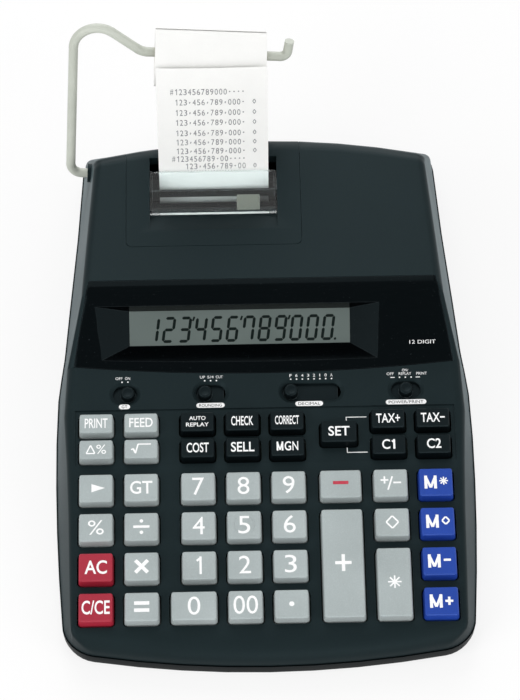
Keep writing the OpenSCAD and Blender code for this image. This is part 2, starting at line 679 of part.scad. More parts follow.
// Printer cover: a piece of the hood with a finger ramp, paper slot and rear paper inlet
module printer_cover() color("#2a3236") difference() {
    union() {
        intersection() {
            difference() {
                form(y0 = hood_y - 4, y1 = back_y);
                form(i = wall, y0 = hood_y - 4, y1 = back_y, low = seam_h - 1);
            }
            cover_prism(0);
        }
        hood() translate([printer_x - opening_w / 2 - 1.8, ramp_y - 4, -ramp_drop - 2])
            cube([opening_w + 3.6, slot_back - ramp_y + 5.8, ramp_drop + 1]);
    }
    hood() along_x(printer_x - opening_w / 2, printer_x + opening_w / 2) polygon([
        [ramp_y, 10], [ramp_y, 0], [ramp_y + ramp_d, -ramp_drop], [ramp_y + ramp_d + 3, -ramp_drop - 0.4],
        [ramp_y + ramp_d + 3, -20], [slot_back, -20], [slot_back, 10]]);
    inlet_slot(paper_w + 6, 5);
}
module inlet_slot(w, t) along_x(paper_x - w / 2, paper_x + w / 2)
    polygon([for (s = [[-1, -12], [1, -12], [1, 25], [-1, 25]]) inlet_pt + s.x * t / 2 * aft + s.y * up]);

// Clear tear window: a sloping plate with a toothed tear edge and a lip at its front
tear_gap = 0.4;
window_len = norm([window_d - 0.4, tear_rise + ramp_drop - 0.4]) - tear_gap;
window_tilt = atan2(tear_rise + ramp_drop - 0.4 - window_t, window_d - 0.4);
module tear_window() color("#c8d2d6", 0.4) hood()
    translate([printer_x, ramp_y + ramp_d + 0.4, 0.1 - ramp_drop]) rotate([window_tilt, 0, 0]) {
        w = opening_w - 0.8;
        tooth = w / tear_teeth;
        linear_extrude(window_t) polygon(concat(
            [[-w / 2, 0], [w / 2, 0], [w / 2, window_len - tooth * 0.6]],
            [for (k = [tear_teeth - 1 : -1 : 0]) each [
                [-w / 2 + (k + 0.5) * tooth, window_len],
                [-w / 2 + k * tooth, window_len - tooth * 0.6]]]));
        rib = 1.2;
        for (x = [-1, 1]) translate([x * (w - rib) / 2 - rib / 2, 0, window_t - 0.2])
            cube([rib, window_len - 2, rib]);
        translate([-w / 2, 0, window_t - 0.2]) cube([w, rib, rib]);
    }

// Key cap with its catch tabs under the deck and its plunger
module key_cap(k) color(k[5]) deck() translate([k[1], k[2], 0]) {
    w = (k[3] + key_flare) / 2 - key_r;
    d = (k[4] + key_flare) / 2 - key_r;
    bevel = 0.45;
    hull() for (x = [-w, w], y = [-d, d]) translate([x, y, -key_skirt]) {
        cylinder(r1 = key_r, r2 = key_r - 0.8, h = key_skirt + key_h - bevel, $fn = 16);
        cylinder(r = key_r - 1.25, h = key_skirt + key_h, $fn = 16);
    }
    translate([-tab_w / 2, -tab_l(k) / 2, -key_skirt]) cube([tab_w, tab_l(k), tab_t]);
    translate([0, 0, -stem_end]) cylinder(d = stem_d, h = stem_end - key_skirt + 0.5);
}

// Switch slider: a round knob on a plate that runs under the deck
module switch_knob(s) color(black) deck() translate([knob_x(s), switch_row, 0]) {
    below = wall + fit_gap;
    rotate_extrude() polygon(concat(
        [[0, -below], [knob_d / 2, -below]],
        fillet([knob_d / 2, -below], [knob_d / 2, knob_h], [0, knob_h], 1.2, 5),
        [[knob_d / 4, knob_h - 0.2], [0, knob_h - 0.35]]));
    translate([0, 0, -below - plate_t]) linear_extrude(plate_t)
        square([slider_l(s), slot_w + 2 * plate_side], center = true);
}

// Inside: key mat, key board, main board, transformer, printer frame with rods and motor, power jack
module inner_chassis() color("#5c6a5e") {
    deck() key_mat();
    deck() translate([board_x, board_y, -board_top - board_t]) cube([board_w, board_l, board_t]);
    translate([-main_board_w / 2, main_board_y, main_board_z])
        cube([main_board_w, main_board_l, board_t]);
    translate([38, hood_y + 34, floor_z + fit_gap]) transformer();
    printer_frame();
    along_rod(rod_pt, shaft_d / 2, frame_in + frame_t + 1);
    motor();
    inlet_place() difference() {
        translate([-jack_w / 2, -jack_h / 2, 0]) cube([jack_w, jack_h, jack_l]);
        translate([0, 0, -1]) cylinder(d = jack_d, h = jack_l - 1);
    }
}
module key_mat() {
    translate([0, 0, 0.1 - board_top]) linear_extrude(mat_t) difference() {
        translate([board_x, board_y]) square([board_w, board_l]);
        for (k = KEYS) translate([k[1], k[2]]) circle(d = stem_d + 2);
    }
    translate([0, 0, 0.1 - board_top + mat_t / 2]) linear_extrude(board_top - mat_top - mat_t / 2 - 0.1)
        for (k = KEYS) translate([k[1], k[2]]) difference() {
            circle(d = stem_d + 5);
            circle(d = stem_d + 2);
        }
}
core = [44, 34, 38];
coil = [28, 44, 26];
module transformer() {
    cube(core);
    translate((core - coil) / 2) cube(coil);
}
module along_rod(p, r, half) translate([printer_x, p.x, p.y]) rotate([0, 90, 0])
    cylinder(r = r, h = 2 * half, center = true);
frame_y0 = rod_pt.x - 10;
frame_len = platen_pt.x + 14 - frame_y0;
comb_top = rod_pt.y + 5.4;
comb_l = 2 * frame_in - 8;
comb_slots = 40;
motor_d = 22;
motor_l = 16;
module printer_frame() difference() {
    union() {
        for (m = [-1, 1]) translate([printer_x + m * (frame_in + frame_t / 2), frame_y0, frame_floor])
            translate([-frame_t / 2, 0, 0]) cube([frame_t, frame_len, comb_top + 1 - frame_floor]);
        translate([printer_x - frame_in - 1, 0, 0]) {
            span = 2 * frame_in + 2;
            translate([0, frame_y0, frame_floor]) cube([span, frame_len, frame_t]);
            translate([0, frame_y0 + 1, comb_top - 5]) cube([span, 2.4, 5]);
            translate([0, platen_pt.x - wrap_r - 2.2, comb_top - 3.8]) cube([span, 1.3, 4.8]);
        }
    }
    along_rod(platen_pt, shaft_d / 2 + shaft_gap, frame_in + 10);
    along_rod(rod_pt, shaft_d / 2 + shaft_gap, frame_in + 10);
    for (k = [1 : comb_slots]) translate([printer_x - comb_l / 2, frame_y0, comb_top])
        translate([k * comb_l / (comb_slots + 1), 0, 0]) cube([0.8, 10, 2.4], center = true);
}
module motor() translate([printer_x + frame_in + frame_t + fit_gap, platen_pt.x - 3, frame_floor + 14])
    rotate([0, 90, 0]) {
        cylinder(d = motor_d, h = motor_l);
        translate([0, 0, motor_l]) cylinder(d = 6, h = 2);
    }

// Platen: a rubber sleeve on a steel shaft that runs in the printer frame
module platen_roller() color("#30302f") {
    along_rod(platen_pt, shaft_d / 2, frame_in + frame_t + 3);
    difference() {
        along_rod(platen_pt, platen_r, frame_in - 2.5);
        along_rod(platen_pt, shaft_d / 2 - 0.3, frame_in);
    }
    for (m = [-1, 1]) translate([printer_x + m * (frame_in - 1.4), platen_pt.x, platen_pt.y])
        rotate([0, 90, 0]) cylinder(d = shaft_d + 2, h = 2.2, center = true);
}

// Print carriage: a block on the rod, its tongue over the comb and its type wheel by the platen
carriage_w = 12;
carriage_x = printer_x + paper_w / 2 - 10.5;
module print_carriage() color("#8a8d88") difference() {
    union() {
        translate([carriage_x - carriage_w / 2, rod_pt.x - 4, rod_pt.y - 5]) cube([carriage_w, 9.6, 11.5]);
        translate([carriage_x - carriage_w / 2, rod_pt.x - 6.4, rod_pt.y + 5.9]) cube([carriage_w, 4, 0.6]);
        translate([carriage_x, rod_pt.x + 5.5, rod_pt.y - 1.5]) rotate([0, 90, 0])
            cylinder(d = 5, h = carriage_w - 3, center = true);
    }
    translate([carriage_x, rod_pt.x, rod_pt.y]) rotate([0, 90, 0])
        cylinder(d = shaft_d + 2 * shaft_gap, h = carriage_w + 2, center = true);
}

// Paper: from the roll down through the rear inlet, round the platen and up behind the tear edge
web_pt = roll_pt + (roll_d / 2 + 0.6 + paper_t / 2) * aft;
under_z = platen_pt.y - wrap_r;
guide_r = 8;
guide_start = under_z + guide_r * (1 - sin(paper_lean));
inlet_pt = web_pt - (web_pt.y - guide_start) / cos(paper_lean) * up;
guide_pt = inlet_pt - guide_r * aft;
function arc(m, r, a, b, n) =
    [for (k = [0 : n]) let (t = a + (b - a) * k / n) m + r * [cos(t), sin(t)]];
PATH = concat(
    [web_pt + 4 * up],
    arc(guide_pt, guide_r, -paper_lean, -90, 6),
    arc(platen_pt, wrap_r, -90, -180 - paper_lean, 10),
    [strip_pt + strip_l * up]);
function path_normal(k) =
    let (t = unit(PATH[min(k + 1, len(PATH) - 1)] - PATH[max(k - 1, 0)])) [-t.y, t.x];
module paper_strip() color("white") along_x(paper_x - paper_w / 2, paper_x + paper_w / 2)
    polygon(concat(
        [for (k = [0 : len(PATH) - 1]) PATH[k] + paper_t / 2 * path_normal(k)],
        [for (k = [len(PATH) - 1 : -1 : 0]) PATH[k] - paper_t / 2 * path_normal(k)]));

// Paper roll on its core
module paper_roll() holder() translate([roll_x, spindle_h - roll_hang, 0]) rotate([0, 90, 0]) {
    color("white") roll_ring(core_d / 2 + core_t + 0.1, roll_d / 2, paper_w);
    color("#b9a07a") roll_ring(core_d / 2, core_d / 2 + core_t, paper_w - 1);
}
module roll_ring(r0, r1, w) rotate_extrude() translate([r0, -w / 2]) square([r1 - r0, w]);

// Wire holder: peg, leg, arch, dip and spindle with a turned-up tip
module paper_holder() color("#b4b8ae") holder() {
    rod([bend_r, 0], 0, peg_l - bend_r);
    bend([bend_r, bend_r], bend_r, 180, 90);
    rod([0, bend_r], 90, leg_l - bend_r);
    bend([arch_r, leg_l], arch_r, 180 - arch_turn, arch_turn);
    rod(arch_end, -dip, dip_l);
    bend([spindle_x, spindle_h + dip_r], dip_r, 270 - dip, dip);
    rod([spindle_x, spindle_h], 0, spindle_l);
    bend([spindle_x + spindle_l, spindle_h + tip_r], tip_r, 270, tip_turn);
    rod([spindle_x + spindle_l + tip_r * sin(tip_turn), spindle_h + tip_r * (1 - cos(tip_turn))],
        tip_turn, tip_l);
}
module rod(p, a, l) translate(p) rotate([0, 0, a]) translate([-fit_gap, 0, 0]) rotate([0, 90, 0])
    cylinder(d = wire_d - bend_swell, h = l + 2 * fit_gap);
module bend(m, r, a, sweep) translate(m) rotate([0, 0, a]) rotate_extrude(angle = sweep)
    translate([r, 0]) circle(d = wire_d);

// Four rubber feet
module feet() color("#202020") for (x = [-1, 1], p = FEET) translate([x * p.x, p.y, 0])
    rotate_extrude() polygon([[0, 0], [foot_d / 2 - 0.8, 0], [foot_d / 2, 0.8],
        [foot_d / 2, foot_h + foot_sink - fit_gap / 2], [0, foot_h + foot_sink - fit_gap / 2]]);

base_shell();
top_shell();
display_unit();
printer_cover();
tear_window();
for (k = KEYS) key_cap(k);
for (s = SWITCHES) switch_knob(s);
inner_chassis();
platen_roller();
print_carriage();
paper_strip();
paper_roll();
paper_holder();
feet();
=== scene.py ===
# %% [markdown]
# # A desktop printing calculator
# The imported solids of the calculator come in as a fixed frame, in metres, with the table at height zero.
# This lesson dresses them. Plastics, rubber, glass and paper become materials, and the pieces that are
# too thin or too soft for solids, such as the printed legends and the paper, become new meshes. Every new
# object is added with nothing else selected, so that the next operator works on it alone.

# %% Load the frame
import contextlib
import json
import math
import random

import bpy
from mathutils import Matrix, Vector


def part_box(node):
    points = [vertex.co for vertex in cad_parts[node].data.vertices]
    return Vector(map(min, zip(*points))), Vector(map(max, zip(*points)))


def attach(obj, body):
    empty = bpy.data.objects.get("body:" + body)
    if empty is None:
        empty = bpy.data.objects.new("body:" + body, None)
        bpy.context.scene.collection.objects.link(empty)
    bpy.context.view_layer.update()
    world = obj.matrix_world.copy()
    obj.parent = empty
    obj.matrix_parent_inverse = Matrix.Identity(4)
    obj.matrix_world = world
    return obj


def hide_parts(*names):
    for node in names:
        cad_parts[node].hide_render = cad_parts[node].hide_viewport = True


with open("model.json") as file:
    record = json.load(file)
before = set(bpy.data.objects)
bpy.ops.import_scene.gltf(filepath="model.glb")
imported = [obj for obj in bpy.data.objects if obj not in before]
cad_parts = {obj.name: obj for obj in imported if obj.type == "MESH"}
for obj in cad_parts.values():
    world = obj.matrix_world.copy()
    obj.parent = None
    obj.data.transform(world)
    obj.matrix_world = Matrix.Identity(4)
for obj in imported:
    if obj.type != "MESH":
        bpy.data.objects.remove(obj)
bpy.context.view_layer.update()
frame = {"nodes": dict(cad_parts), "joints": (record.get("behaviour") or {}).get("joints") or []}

MM = 0.001
nodes = frame["nodes"]
joints = {joint["name"]: joint for joint in frame["joints"]}


def added(operator, **settings):
    """Runs an operator that adds an object and returns the new object."""
    bpy.ops.object.select_all(action="DESELECT")
    operator(**settings)
    return bpy.context.object


# %% [markdown]
# ## The camera
# The photograph looks down on the calculator from the front, about 55 degrees above the table, through a
# long lens. A camera could be pointed with a constraint, but a turn worked out from three axes needs no
# extra object and includes the small roll of the picture.

# %% Camera
ELEVATION = math.radians(55)
AZIMUTH = math.radians(-0.854)
ROLL = math.radians(-0.335)
DISTANCE = 1.7347
TARGET = Vector((-1.606, 10.645, 34.0)) * MM
FOCAL_LENGTH = 171.39
SENSOR = 36.0

level = math.cos(ELEVATION)
back = Vector((math.sin(AZIMUTH) * level, -math.cos(AZIMUTH) * level, math.sin(ELEVATION)))
right = Vector((0, 0, 1)).cross(back).normalized()
upright = back.cross(right)
across = right * math.cos(ROLL) + upright * math.sin(ROLL)
along = upright * math.cos(ROLL) - right * math.sin(ROLL)

camera = added(bpy.ops.object.camera_add, location=TARGET + back * DISTANCE)
camera.rotation_mode = "QUATERNION"
camera.rotation_quaternion = Matrix((across, along, back)).transposed().to_quaternion()
camera.data.sensor_width = SENSOR
camera.data.lens = FOCAL_LENGTH
bpy.context.scene.camera = camera
print("camera at", camera.location)

# %% [markdown]
# ## Shader sums
# A finish is a small sum of noises and masks. Wiring Math nodes one by one hides that sum, so a class
# wraps a socket: `+`, `-` and `*` between signals and numbers add the Math nodes, and one method adds any
# other node, with its settings first and then the values or links of its sockets.

# %% Signals
class Signal:
    """One output of a node tree, for sums with other signals and numbers."""

    def __init__(self, tree, socket=None):
        self.tree = tree
        self.socket = socket

    def node(self, kind, settings=None, sockets=None, output=0):
        """Adds a node of any kind and returns one of its outputs."""
        made = self.tree.nodes.new("ShaderNode" + kind)
        for name, value in (settings or {}).items():
            setattr(made, name, value)
        for key, value in (sockets or {}).items():
            if isinstance(value, Signal):
                self.tree.links.new(value.socket, made.inputs[key])
            else:
                made.inputs[key].default_value = value
        return Signal(self.tree, made.outputs[output])

    def math(self, operation, *values):
        return self.node("Math", {"operation": operation}, dict(enumerate(values)))

    def __add__(self, other):
        return self.math("ADD", self, other)

    def __sub__(self, other):
        return self.math("SUBTRACT", self, other)

    def __rsub__(self, other):
        return self.math("SUBTRACT", other, self)

    def __mul__(self, other):
        return self.math("MULTIPLY", self, other)

    def clamp(self):
        return self.node("Clamp", sockets={"Value": self})

    __radd__ = __add__
    __rmul__ = __mul__


def paint(red, green, blue):
    """A colour as a screen shows it, 0 to 255, as the linear colour that a shader works in."""
    def linear(value):
        value /= 255
        return value / 12.92 if value <= 0.04045 else ((value + 0.055) / 1.055) ** 2.4
    return (linear(red), linear(green), linear(blue), 1.0)


def shade(colour, factor):
    return tuple(channel * factor for channel in colour[:3]) + (1.0,)


def mix(factor, first, second):
    """Two colours blended by a signal."""
    return factor.node("Mix", {"data_type": "RGBA"}, {0: factor, 6: first, 7: second}, output=2)


def noise(place, size, detail=2.0, roughness=0.5):
    """A cloud of that size in metres."""
    sockets = {"Vector": place, "Scale": 1 / size, "Detail": detail, "Roughness": roughness}
    return place.node("TexNoise", sockets=sockets)


def worn_edge(tree, radius):
    """One where the surface turns within that radius, nought on its flats."""
    rounded = tree.node("Bevel", {"samples": 4}, {"Radius": radius})
    normal = tree.node("NewGeometry", output="Normal")
    settings = {"operation": "DOT_PRODUCT"}
    same = tree.node("VectorMath", settings, {0: rounded, 1: normal}, output="Value")
    return ((1 - same.math("ABSOLUTE", same)) * 3).clamp()


class Finish:
    """A material whose constant sockets are set at once and whose varying ones are linked later."""

    def __init__(self, name, **constants):
        self.material = bpy.data.materials.new(name)
        self.material.use_nodes = True
        self.tree = Signal(self.material.node_tree)
        self.shader = self.material.node_tree.nodes["Principled BSDF"]
        self.place = self.tree.node("TexCoord", output="Object")
        for socket, value in constants.items():
            self.shader.inputs[socket.replace("_", " ")].default_value = value

    def link(self, **signals):
        for socket, signal in signals.items():
            self.tree.tree.links.new(signal.socket, self.shader.inputs[socket.replace("_", " ")])
        return self.material

    def bump(self, height, depth, strength=1.0):
        sockets = {"Strength": strength, "Distance": depth, "Height": height}
        return self.tree.node("Bump", sockets=sockets)

    def blend(self, factor, other):
        """Puts another shader in place of the main one, by a factor."""
        links, output = self.tree.tree.links, self.tree.tree.nodes["Material Output"]
        main = Signal(self.tree.tree, self.shader.outputs["BSDF"])
        mixed = self.tree.node("MixShader", sockets={0: factor, 1: main, 2: other})
        links.new(mixed.socket, output.inputs["Surface"])
        return self.material


print("shader helpers ready")

# %% [markdown]
# ## Moulded plastics
# The case and the keys are dyed plastic from a spark-eroded mould: a fine even grain, a slight cloud in the
# dye, and edges that hands have polished paler. On the slide switch knobs the paler edge is a painted
# highlight instead, a light ring in place of the glint on each dome. One function makes them all, because
# they differ only in dye, grain, gloss and dust. What they reflect is tinted cool, as the studio light of
# the picture is. Grain as geometry would cost millions of faces, so it is a bump.

# %% Case and key plastics
GRAIN_DEPTH = 0.02 * MM
CLOUD = 35 * MM
EDGE_REACH = 0.5 * MM
# Share of the edge tone: polishing wear on the case and keys, a painted highlight on the knobs.
EDGE_WEAR_AND_HIGHLIGHT = 0.55
COOL_TINT = paint(208, 245, 255)


def moulded_plastic(name, dye, roughness, grain, gloss, rim_wear_and_highlight_tone, dust=0.0):
    finish = Finish(
        name, Specular_IOR_Level=gloss, Specular_Tint=COOL_TINT,
        Sheen_Weight=dust, Sheen_Roughness=0.3, Sheen_Tint=COOL_TINT)
    cloud = noise(finish.place, CLOUD, detail=4.0)
    pits = noise(finish.place, grain, detail=3.0, roughness=0.6)
    edge = worn_edge(finish.tree, EDGE_REACH)
    dyed = mix(cloud, shade(dye, 0.8), shade(dye, 1.2))
    speckled = mix((pits - 0.45) * 1.2, dyed, shade(dye, 1.5))
    # Paler edges: polishing wear on most plastics; on the knobs this is a painted highlight ring.
    wear_and_painted_highlight = mix(edge * EDGE_WEAR_AND_HIGHLIGHT, speckled, rim_wear_and_highlight_tone)
    return finish.link(
        Base_Color=wear_and_painted_highlight,
        Roughness=(roughness + (cloud - 0.5) * 0.14 + (pits - 0.5) * 0.1 - edge * 0.12).clamp(),
        Normal=finish.bump(pits, GRAIN_DEPTH, 0.6),
    )


CASE_GRAIN = 0.7 * MM
KEY_GRAIN = 0.5 * MM
case_plastic = moulded_plastic(
    "case_plastic", paint(22, 31, 33), 0.46, CASE_GRAIN, 0.1, paint(30, 41, 44), dust=0.12)
base_plastic = moulded_plastic(
    "base_plastic", paint(6, 9, 10), 0.42, CASE_GRAIN, 0.06, paint(34, 41, 44))
grey_plastic = moulded_plastic(
    "grey_key_plastic", paint(163, 171, 171), 0.42, KEY_GRAIN, 0.35, paint(208, 214, 213))
black_plastic = moulded_plastic(
    "black_key_plastic", paint(8, 13, 15), 0.36, KEY_GRAIN, 0.12, paint(60, 72, 76))
# The knobs' pale edge tone is a painted highlight: a light ring round each dome in place of its glint.
knob_plastic_painted_highlight = moulded_plastic(
    "knob_plastic_painted_highlight", paint(13, 19, 21), 0.32, KEY_GRAIN, 0.1, paint(128, 142, 146))
red_plastic = moulded_plastic(
    "red_key_plastic", paint(158, 36, 54), 0.4, KEY_GRAIN, 0.3, paint(212, 92, 104))
blue_plastic = moulded_plastic(
    "blue_key_plastic", paint(32, 63, 154), 0.4, KEY_GRAIN, 0.3, paint(92, 118, 205))
print("plastics:", case_plastic.name, base_plastic.name, grey_plastic.name, black_plastic.name)

# %% [markdown]
# ## Gloss, glass and liquid crystal
# The display sits in a polished black moulding that shows dust and fine wiping marks. Over the printer is
# a clear acrylic window, and the display itself is a grey polariser. Wiping marks are long in one
# direction, so their noise is stretched with a Mapping node. Light reaches the paper behind the window
# because the acrylic lets shadow rays straight through.

# %% Display and window finishes
def polished_black(name):
    finish = Finish(name, Specular_IOR_Level=0.04, Specular_Tint=COOL_TINT)
    stretched = finish.tree.node("Mapping", sockets={"Vector": finish.place, "Scale": (0.12, 1.0, 1.0)})
    wipes = noise(stretched, 1.5 * MM, detail=5.0, roughness=0.7)
    dust = noise(finish.place, 0.9 * MM, detail=1.0)
    specks = ((dust - 0.72) * 9).clamp()
    edge = worn_edge(finish.tree, 0.6 * MM)
    clean = mix(wipes, paint(2, 4, 5), paint(6, 8, 10))
    return finish.link(
        Base_Color=mix((specks * 0.25 + edge * 0.3).clamp(), clean, paint(84, 92, 96)),
        Roughness=(0.1 + wipes * 0.14 + specks * 0.3).clamp(),
    )


def clear_acrylic(name):
    finish = Finish(name, IOR=1.32, Transmission_Weight=1.0)
    scuffs = noise(finish.place, 4 * MM, detail=6.0, roughness=0.7)
    edge = worn_edge(finish.tree, 0.4 * MM)
    finish.link(
        Base_Color=mix(edge, paint(244, 249, 249), paint(252, 253, 253)),
        Roughness=(0.01 + scuffs * 0.03 + edge * 0.3).clamp(),
    )
    clear = finish.tree.node("BsdfTransparent", sockets={"Color": paint(240, 246, 246)})
    shadow = finish.tree.node("LightPath", output="Is Shadow Ray")
    return finish.blend(shadow, clear)


def liquid_crystal(name):
    finish = Finish(name, Specular_IOR_Level=0.15)
    cloud = noise(finish.place, 30 * MM, detail=2.0)
    weave = noise(finish.place, 0.25 * MM, detail=1.0)
    tone = mix((cloud * 0.8 + weave * 0.2).clamp(), paint(86, 97, 93), paint(108, 118, 116))
    return finish.link(Base_Color=tone, Roughness=0.32 + weave * 0.12)


gloss_black = polished_black("polished_black")
window_acrylic = clear_acrylic("clear_acrylic")
crystal_face = liquid_crystal("liquid_crystal_face")
print("display finishes:", gloss_black.name, window_acrylic.name, crystal_face.name)

# %% [markdown]
# ## Rubber, metal and coated wire
# Inside the printer are a black zinc plated frame and a rubber platen, under the case are rubber feet, and
# the roll hangs on a steel wire with a pale coating. Zinc has crystals of different brightness, which a
# Voronoi texture gives, and the boards under the keys are told from the printer frame by how far back they
# lie.

# %% Works, rubber and wire
PRINTER_START = 62 * MM


def plated_works(name):
    finish = Finish(name)
    crystals = finish.tree.node(
        "TexVoronoi", sockets={"Vector": finish.place, "Scale": 1 / (3 * MM)}, output="Distance")
    stain = noise(finish.place, 12 * MM, detail=4.0)
    depth = finish.tree.node("SeparateXYZ", sockets={"Vector": finish.place}, output="Y")
    metal = depth.math("GREATER_THAN", depth, PRINTER_START)
    black_zinc = mix(crystals, paint(22, 26, 27), paint(44, 49, 50))
    board = mix(stain, paint(26, 46, 34), paint(40, 62, 46))
    return finish.link(
        Base_Color=mix(metal, board, black_zinc),
        Metallic=metal * 0.4,
        Roughness=0.38 + stain * 0.3,
    )


def rubber(name, tone):
    finish = Finish(name, Specular_IOR_Level=0.25)
    bloom = noise(finish.place, 6 * MM, detail=5.0)
    grain = noise(finish.place, 0.4 * MM)
    return finish.link(
        Base_Color=mix(bloom, shade(tone, 0.7), shade(tone, 1.5)),
        Roughness=0.62 + bloom * 0.25,
        Normal=finish.bump(grain, 0.03 * MM, 0.7),
    )


def coated_wire(name):
    finish = Finish(name, Specular_IOR_Level=0.45)
    peel = noise(finish.place, 1.6 * MM, detail=2.0)
    cloud = noise(finish.place, 18 * MM, detail=3.0)
    return finish.link(
        Base_Color=mix(cloud, paint(176, 181, 170), paint(204, 208, 198)),
        Roughness=0.3 + peel * 0.18,
        Normal=finish.bump(peel, 0.03 * MM, 0.5),
    )


def bright_steel(name):
    finish = Finish(name, Metallic=1.0)
    scratch = noise(finish.place, 0.5 * MM, detail=4.0)
    return finish.link(
        Base_Color=mix(scratch, paint(128, 128, 126), paint(176, 176, 172)),
        Roughness=0.24 + scratch * 0.25,
    )


works_metal = plated_works("plated_works")
platen_rubber = rubber("platen_rubber", paint(40, 40, 40))
foot_rubber = rubber("foot_rubber", paint(26, 26, 26))
wire_coat = coated_wire("coated_wire")
screw_steel = bright_steel("screw_steel")
carriage_resin = moulded_plastic(
    "carriage_resin", paint(118, 118, 108), 0.5, KEY_GRAIN, 0.35, paint(165, 165, 155))
print("works finishes:", works_metal.name, platen_rubber.name, wire_coat.name)

# %% [markdown]
# ## Paper and inks
# Calculator paper is white wood-free stock with a faint fibre cloud. The ribbon prints it in an uneven
# grey, while the legends on the keys are opaque inks that rub thin here and there. The inks are thin solids
# of their own, so they stay sharp from any distance, and their material only adds the rubbed patches.

# %% Paper, card and inks
def paper_stock(name, tone, fibre_tone):
    finish = Finish(name, Specular_IOR_Level=0.2)
    fibres = noise(finish.place, 0.8 * MM, detail=6.0, roughness=0.7)
    cloud = noise(finish.place, 14 * MM, detail=2.0)
    return finish.link(
        Base_Color=mix((fibres * 0.5 + cloud * 0.5).clamp(), fibre_tone, tone),
        Roughness=0.75 + fibres * 0.2,
        Normal=finish.bump(fibres, 0.03 * MM, 0.4),
    )


def ink(name, tone, thin_tone, patch, rub, gloss=0.3):
    finish = Finish(name, Specular_IOR_Level=gloss)
    rubbed = noise(finish.place, patch, detail=4.0, roughness=0.6)
    return finish.link(
        Base_Color=mix(((rubbed - 0.5) * rub + 0.25).clamp(), tone, thin_tone),
        Roughness=0.4 + rubbed * 0.25,
    )


white_paper = paper_stock("white_paper", paint(250, 250, 248), paint(236, 236, 234))
core_card = paper_stock("core_card", paint(186, 160, 122), paint(150, 124, 90))
white_ink = ink("white_ink", paint(252, 252, 252), paint(225, 228, 228), 2.5 * MM, 1.2)
red_ink = ink("red_ink", paint(178, 34, 58), paint(200, 90, 104), 2.5 * MM, 1.2)
dark_ink = ink("dark_ink", paint(16, 18, 20), paint(40, 44, 48), 1.5 * MM, 1.2)
ribbon_ink = ink("ribbon_ink", paint(84, 86, 92), paint(172, 173, 177), 0.7 * MM, 3.5)
crystal_ink = ink(
    "crystal_ink", paint(14, 22, 21), paint(24, 33, 31), 3.0 * MM, 0.8, gloss=0.05)
print("inks:", white_ink.name, red_ink.name, dark_ink.name, ribbon_ink.name, crystal_ink.name)

# %% [markdown]
# ## Dressing the solids
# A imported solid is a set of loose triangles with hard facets. Changing its mesh would break the frame, so
# live modifiers do the work: a weld joins the triangles, a narrow bevel rounds the hard edges as a mould
# does, an edge split keeps what is still sharp apart, and weighted normals keep the flats flat. The plate
# round the power socket belongs to the lower shell, but it stands above the seam in the case's own plastic.

# %% Dress the housing, keys and works
SHARP = math.radians(24)
SAME_POINT = 0.002 * MM
KEY_ROUNDING = 0.6 * MM
KNOB_ROUNDING = 0.2 * MM


def dress(node, finish, rounding):
    """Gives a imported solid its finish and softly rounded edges."""
    piece = nodes[node]
    piece.data.materials.clear()
    piece.data.materials.append(finish)
    piece.data.polygons.foreach_set("use_smooth", [True] * len(piece.data.polygons))
    weld = piece.modifiers.new("weld", "WELD")
    weld.merge_threshold = SAME_POINT
    if rounding:
        bevel = piece.modifiers.new("round_edges", "BEVEL")
        bevel.width = rounding
        bevel.segments = 3
        bevel.limit_method = "ANGLE"
        bevel.angle_limit = SHARP
        bevel.use_clamp_overlap = True
    split = piece.modifiers.new("keep_sharp", "EDGE_SPLIT")
    split.split_angle = SHARP
    split.use_edge_sharp = False
    piece.modifiers.new("flat_flats", "WEIGHTED_NORMAL")


KEY_PLASTICS = {
    "grey_keys": grey_plastic,
    "black_keys": black_plastic,
    "red_keys": red_plastic,
    "blue_keys": blue_plastic,
}
for name in nodes:
    if name.startswith("key_"):
        dress(name, KEY_PLASTICS[nodes[name].data.materials[0].name], KEY_ROUNDING)
    if name.startswith("switch_"):
        dress(name, knob_plastic_painted_highlight, KNOB_ROUNDING)
for name, finish, rounding in (
    ("top_shell", case_plastic, 0.25 * MM),
    ("printer_cover", case_plastic, 0.25 * MM),
    ("base_shell", base_plastic, 0.25 * MM),
    ("display_unit", gloss_black, 0.3 * MM),
    ("tear_window", window_acrylic, 0.15 * MM),
    ("inner_chassis", works_metal, 0),
    ("platen_roller", platen_rubber, 0.2 * MM),
    ("print_carriage", carriage_resin, 0.25 * MM),
    ("paper_holder", wire_coat, 0),
    ("feet", foot_rubber, 0.2 * MM),
):
    dress(name, finish, rounding)

seam_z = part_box("top_shell")[0].z
lower_mesh = nodes["base_shell"].data
lower_mesh.materials.append(case_plastic)
for face in lower_mesh.polygons:
    face.material_index = 1 if face.center.z > seam_z else 0
print("dressed", sum(1 for piece in nodes.values() if piece.modifiers), "solids")

# %% [markdown]
# ## The deck's own plane
# Keys, slide switches and legends all lie on a deck that tilts towards the user. Its tilt is the direction
# in which a key is pressed, and its height comes from the key tops, so a matrix made from the frame lets
# every mark be placed by plain distances across and along the deck.

# %% Deck and display planes
KEY_RISE = 4.6 * MM
DECK_LENGTH = 154.7 * MM
DISPLAY_SLOPE = math.radians(39)
FLAT = Matrix.Identity(4)

press = Vector(joints["key_5_press"]["axis"])
deck_tilt = math.atan2(press.y, -press.z)
front_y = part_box("top_shell")[0].y
deck_turn = Matrix.Rotation(deck_tilt, 4, "X")
key_top = max((deck_turn.inverted() @ vertex.co).z for vertex in nodes["key_5"].data.vertices)
deck_z = (key_top - KEY_RISE + front_y * math.sin(deck_tilt)) / math.cos(deck_tilt)
deck = Matrix.Translation((0, front_y, deck_z)) @ deck_turn

display_foot = Vector((0, front_y + DECK_LENGTH, deck_z + DECK_LENGTH * math.tan(deck_tilt)))
display = Matrix.Translation(display_foot) @ Matrix.Rotation(DISPLAY_SLOPE, 4, "X")


def at(plane, x, y, z=0.0):
    """A place on a plane, in millimetres across, along and above it."""
    return plane @ Matrix.Translation((x * MM, y * MM, z * MM))


print("deck tilt", math.degrees(deck_tilt), "front height", deck_z)

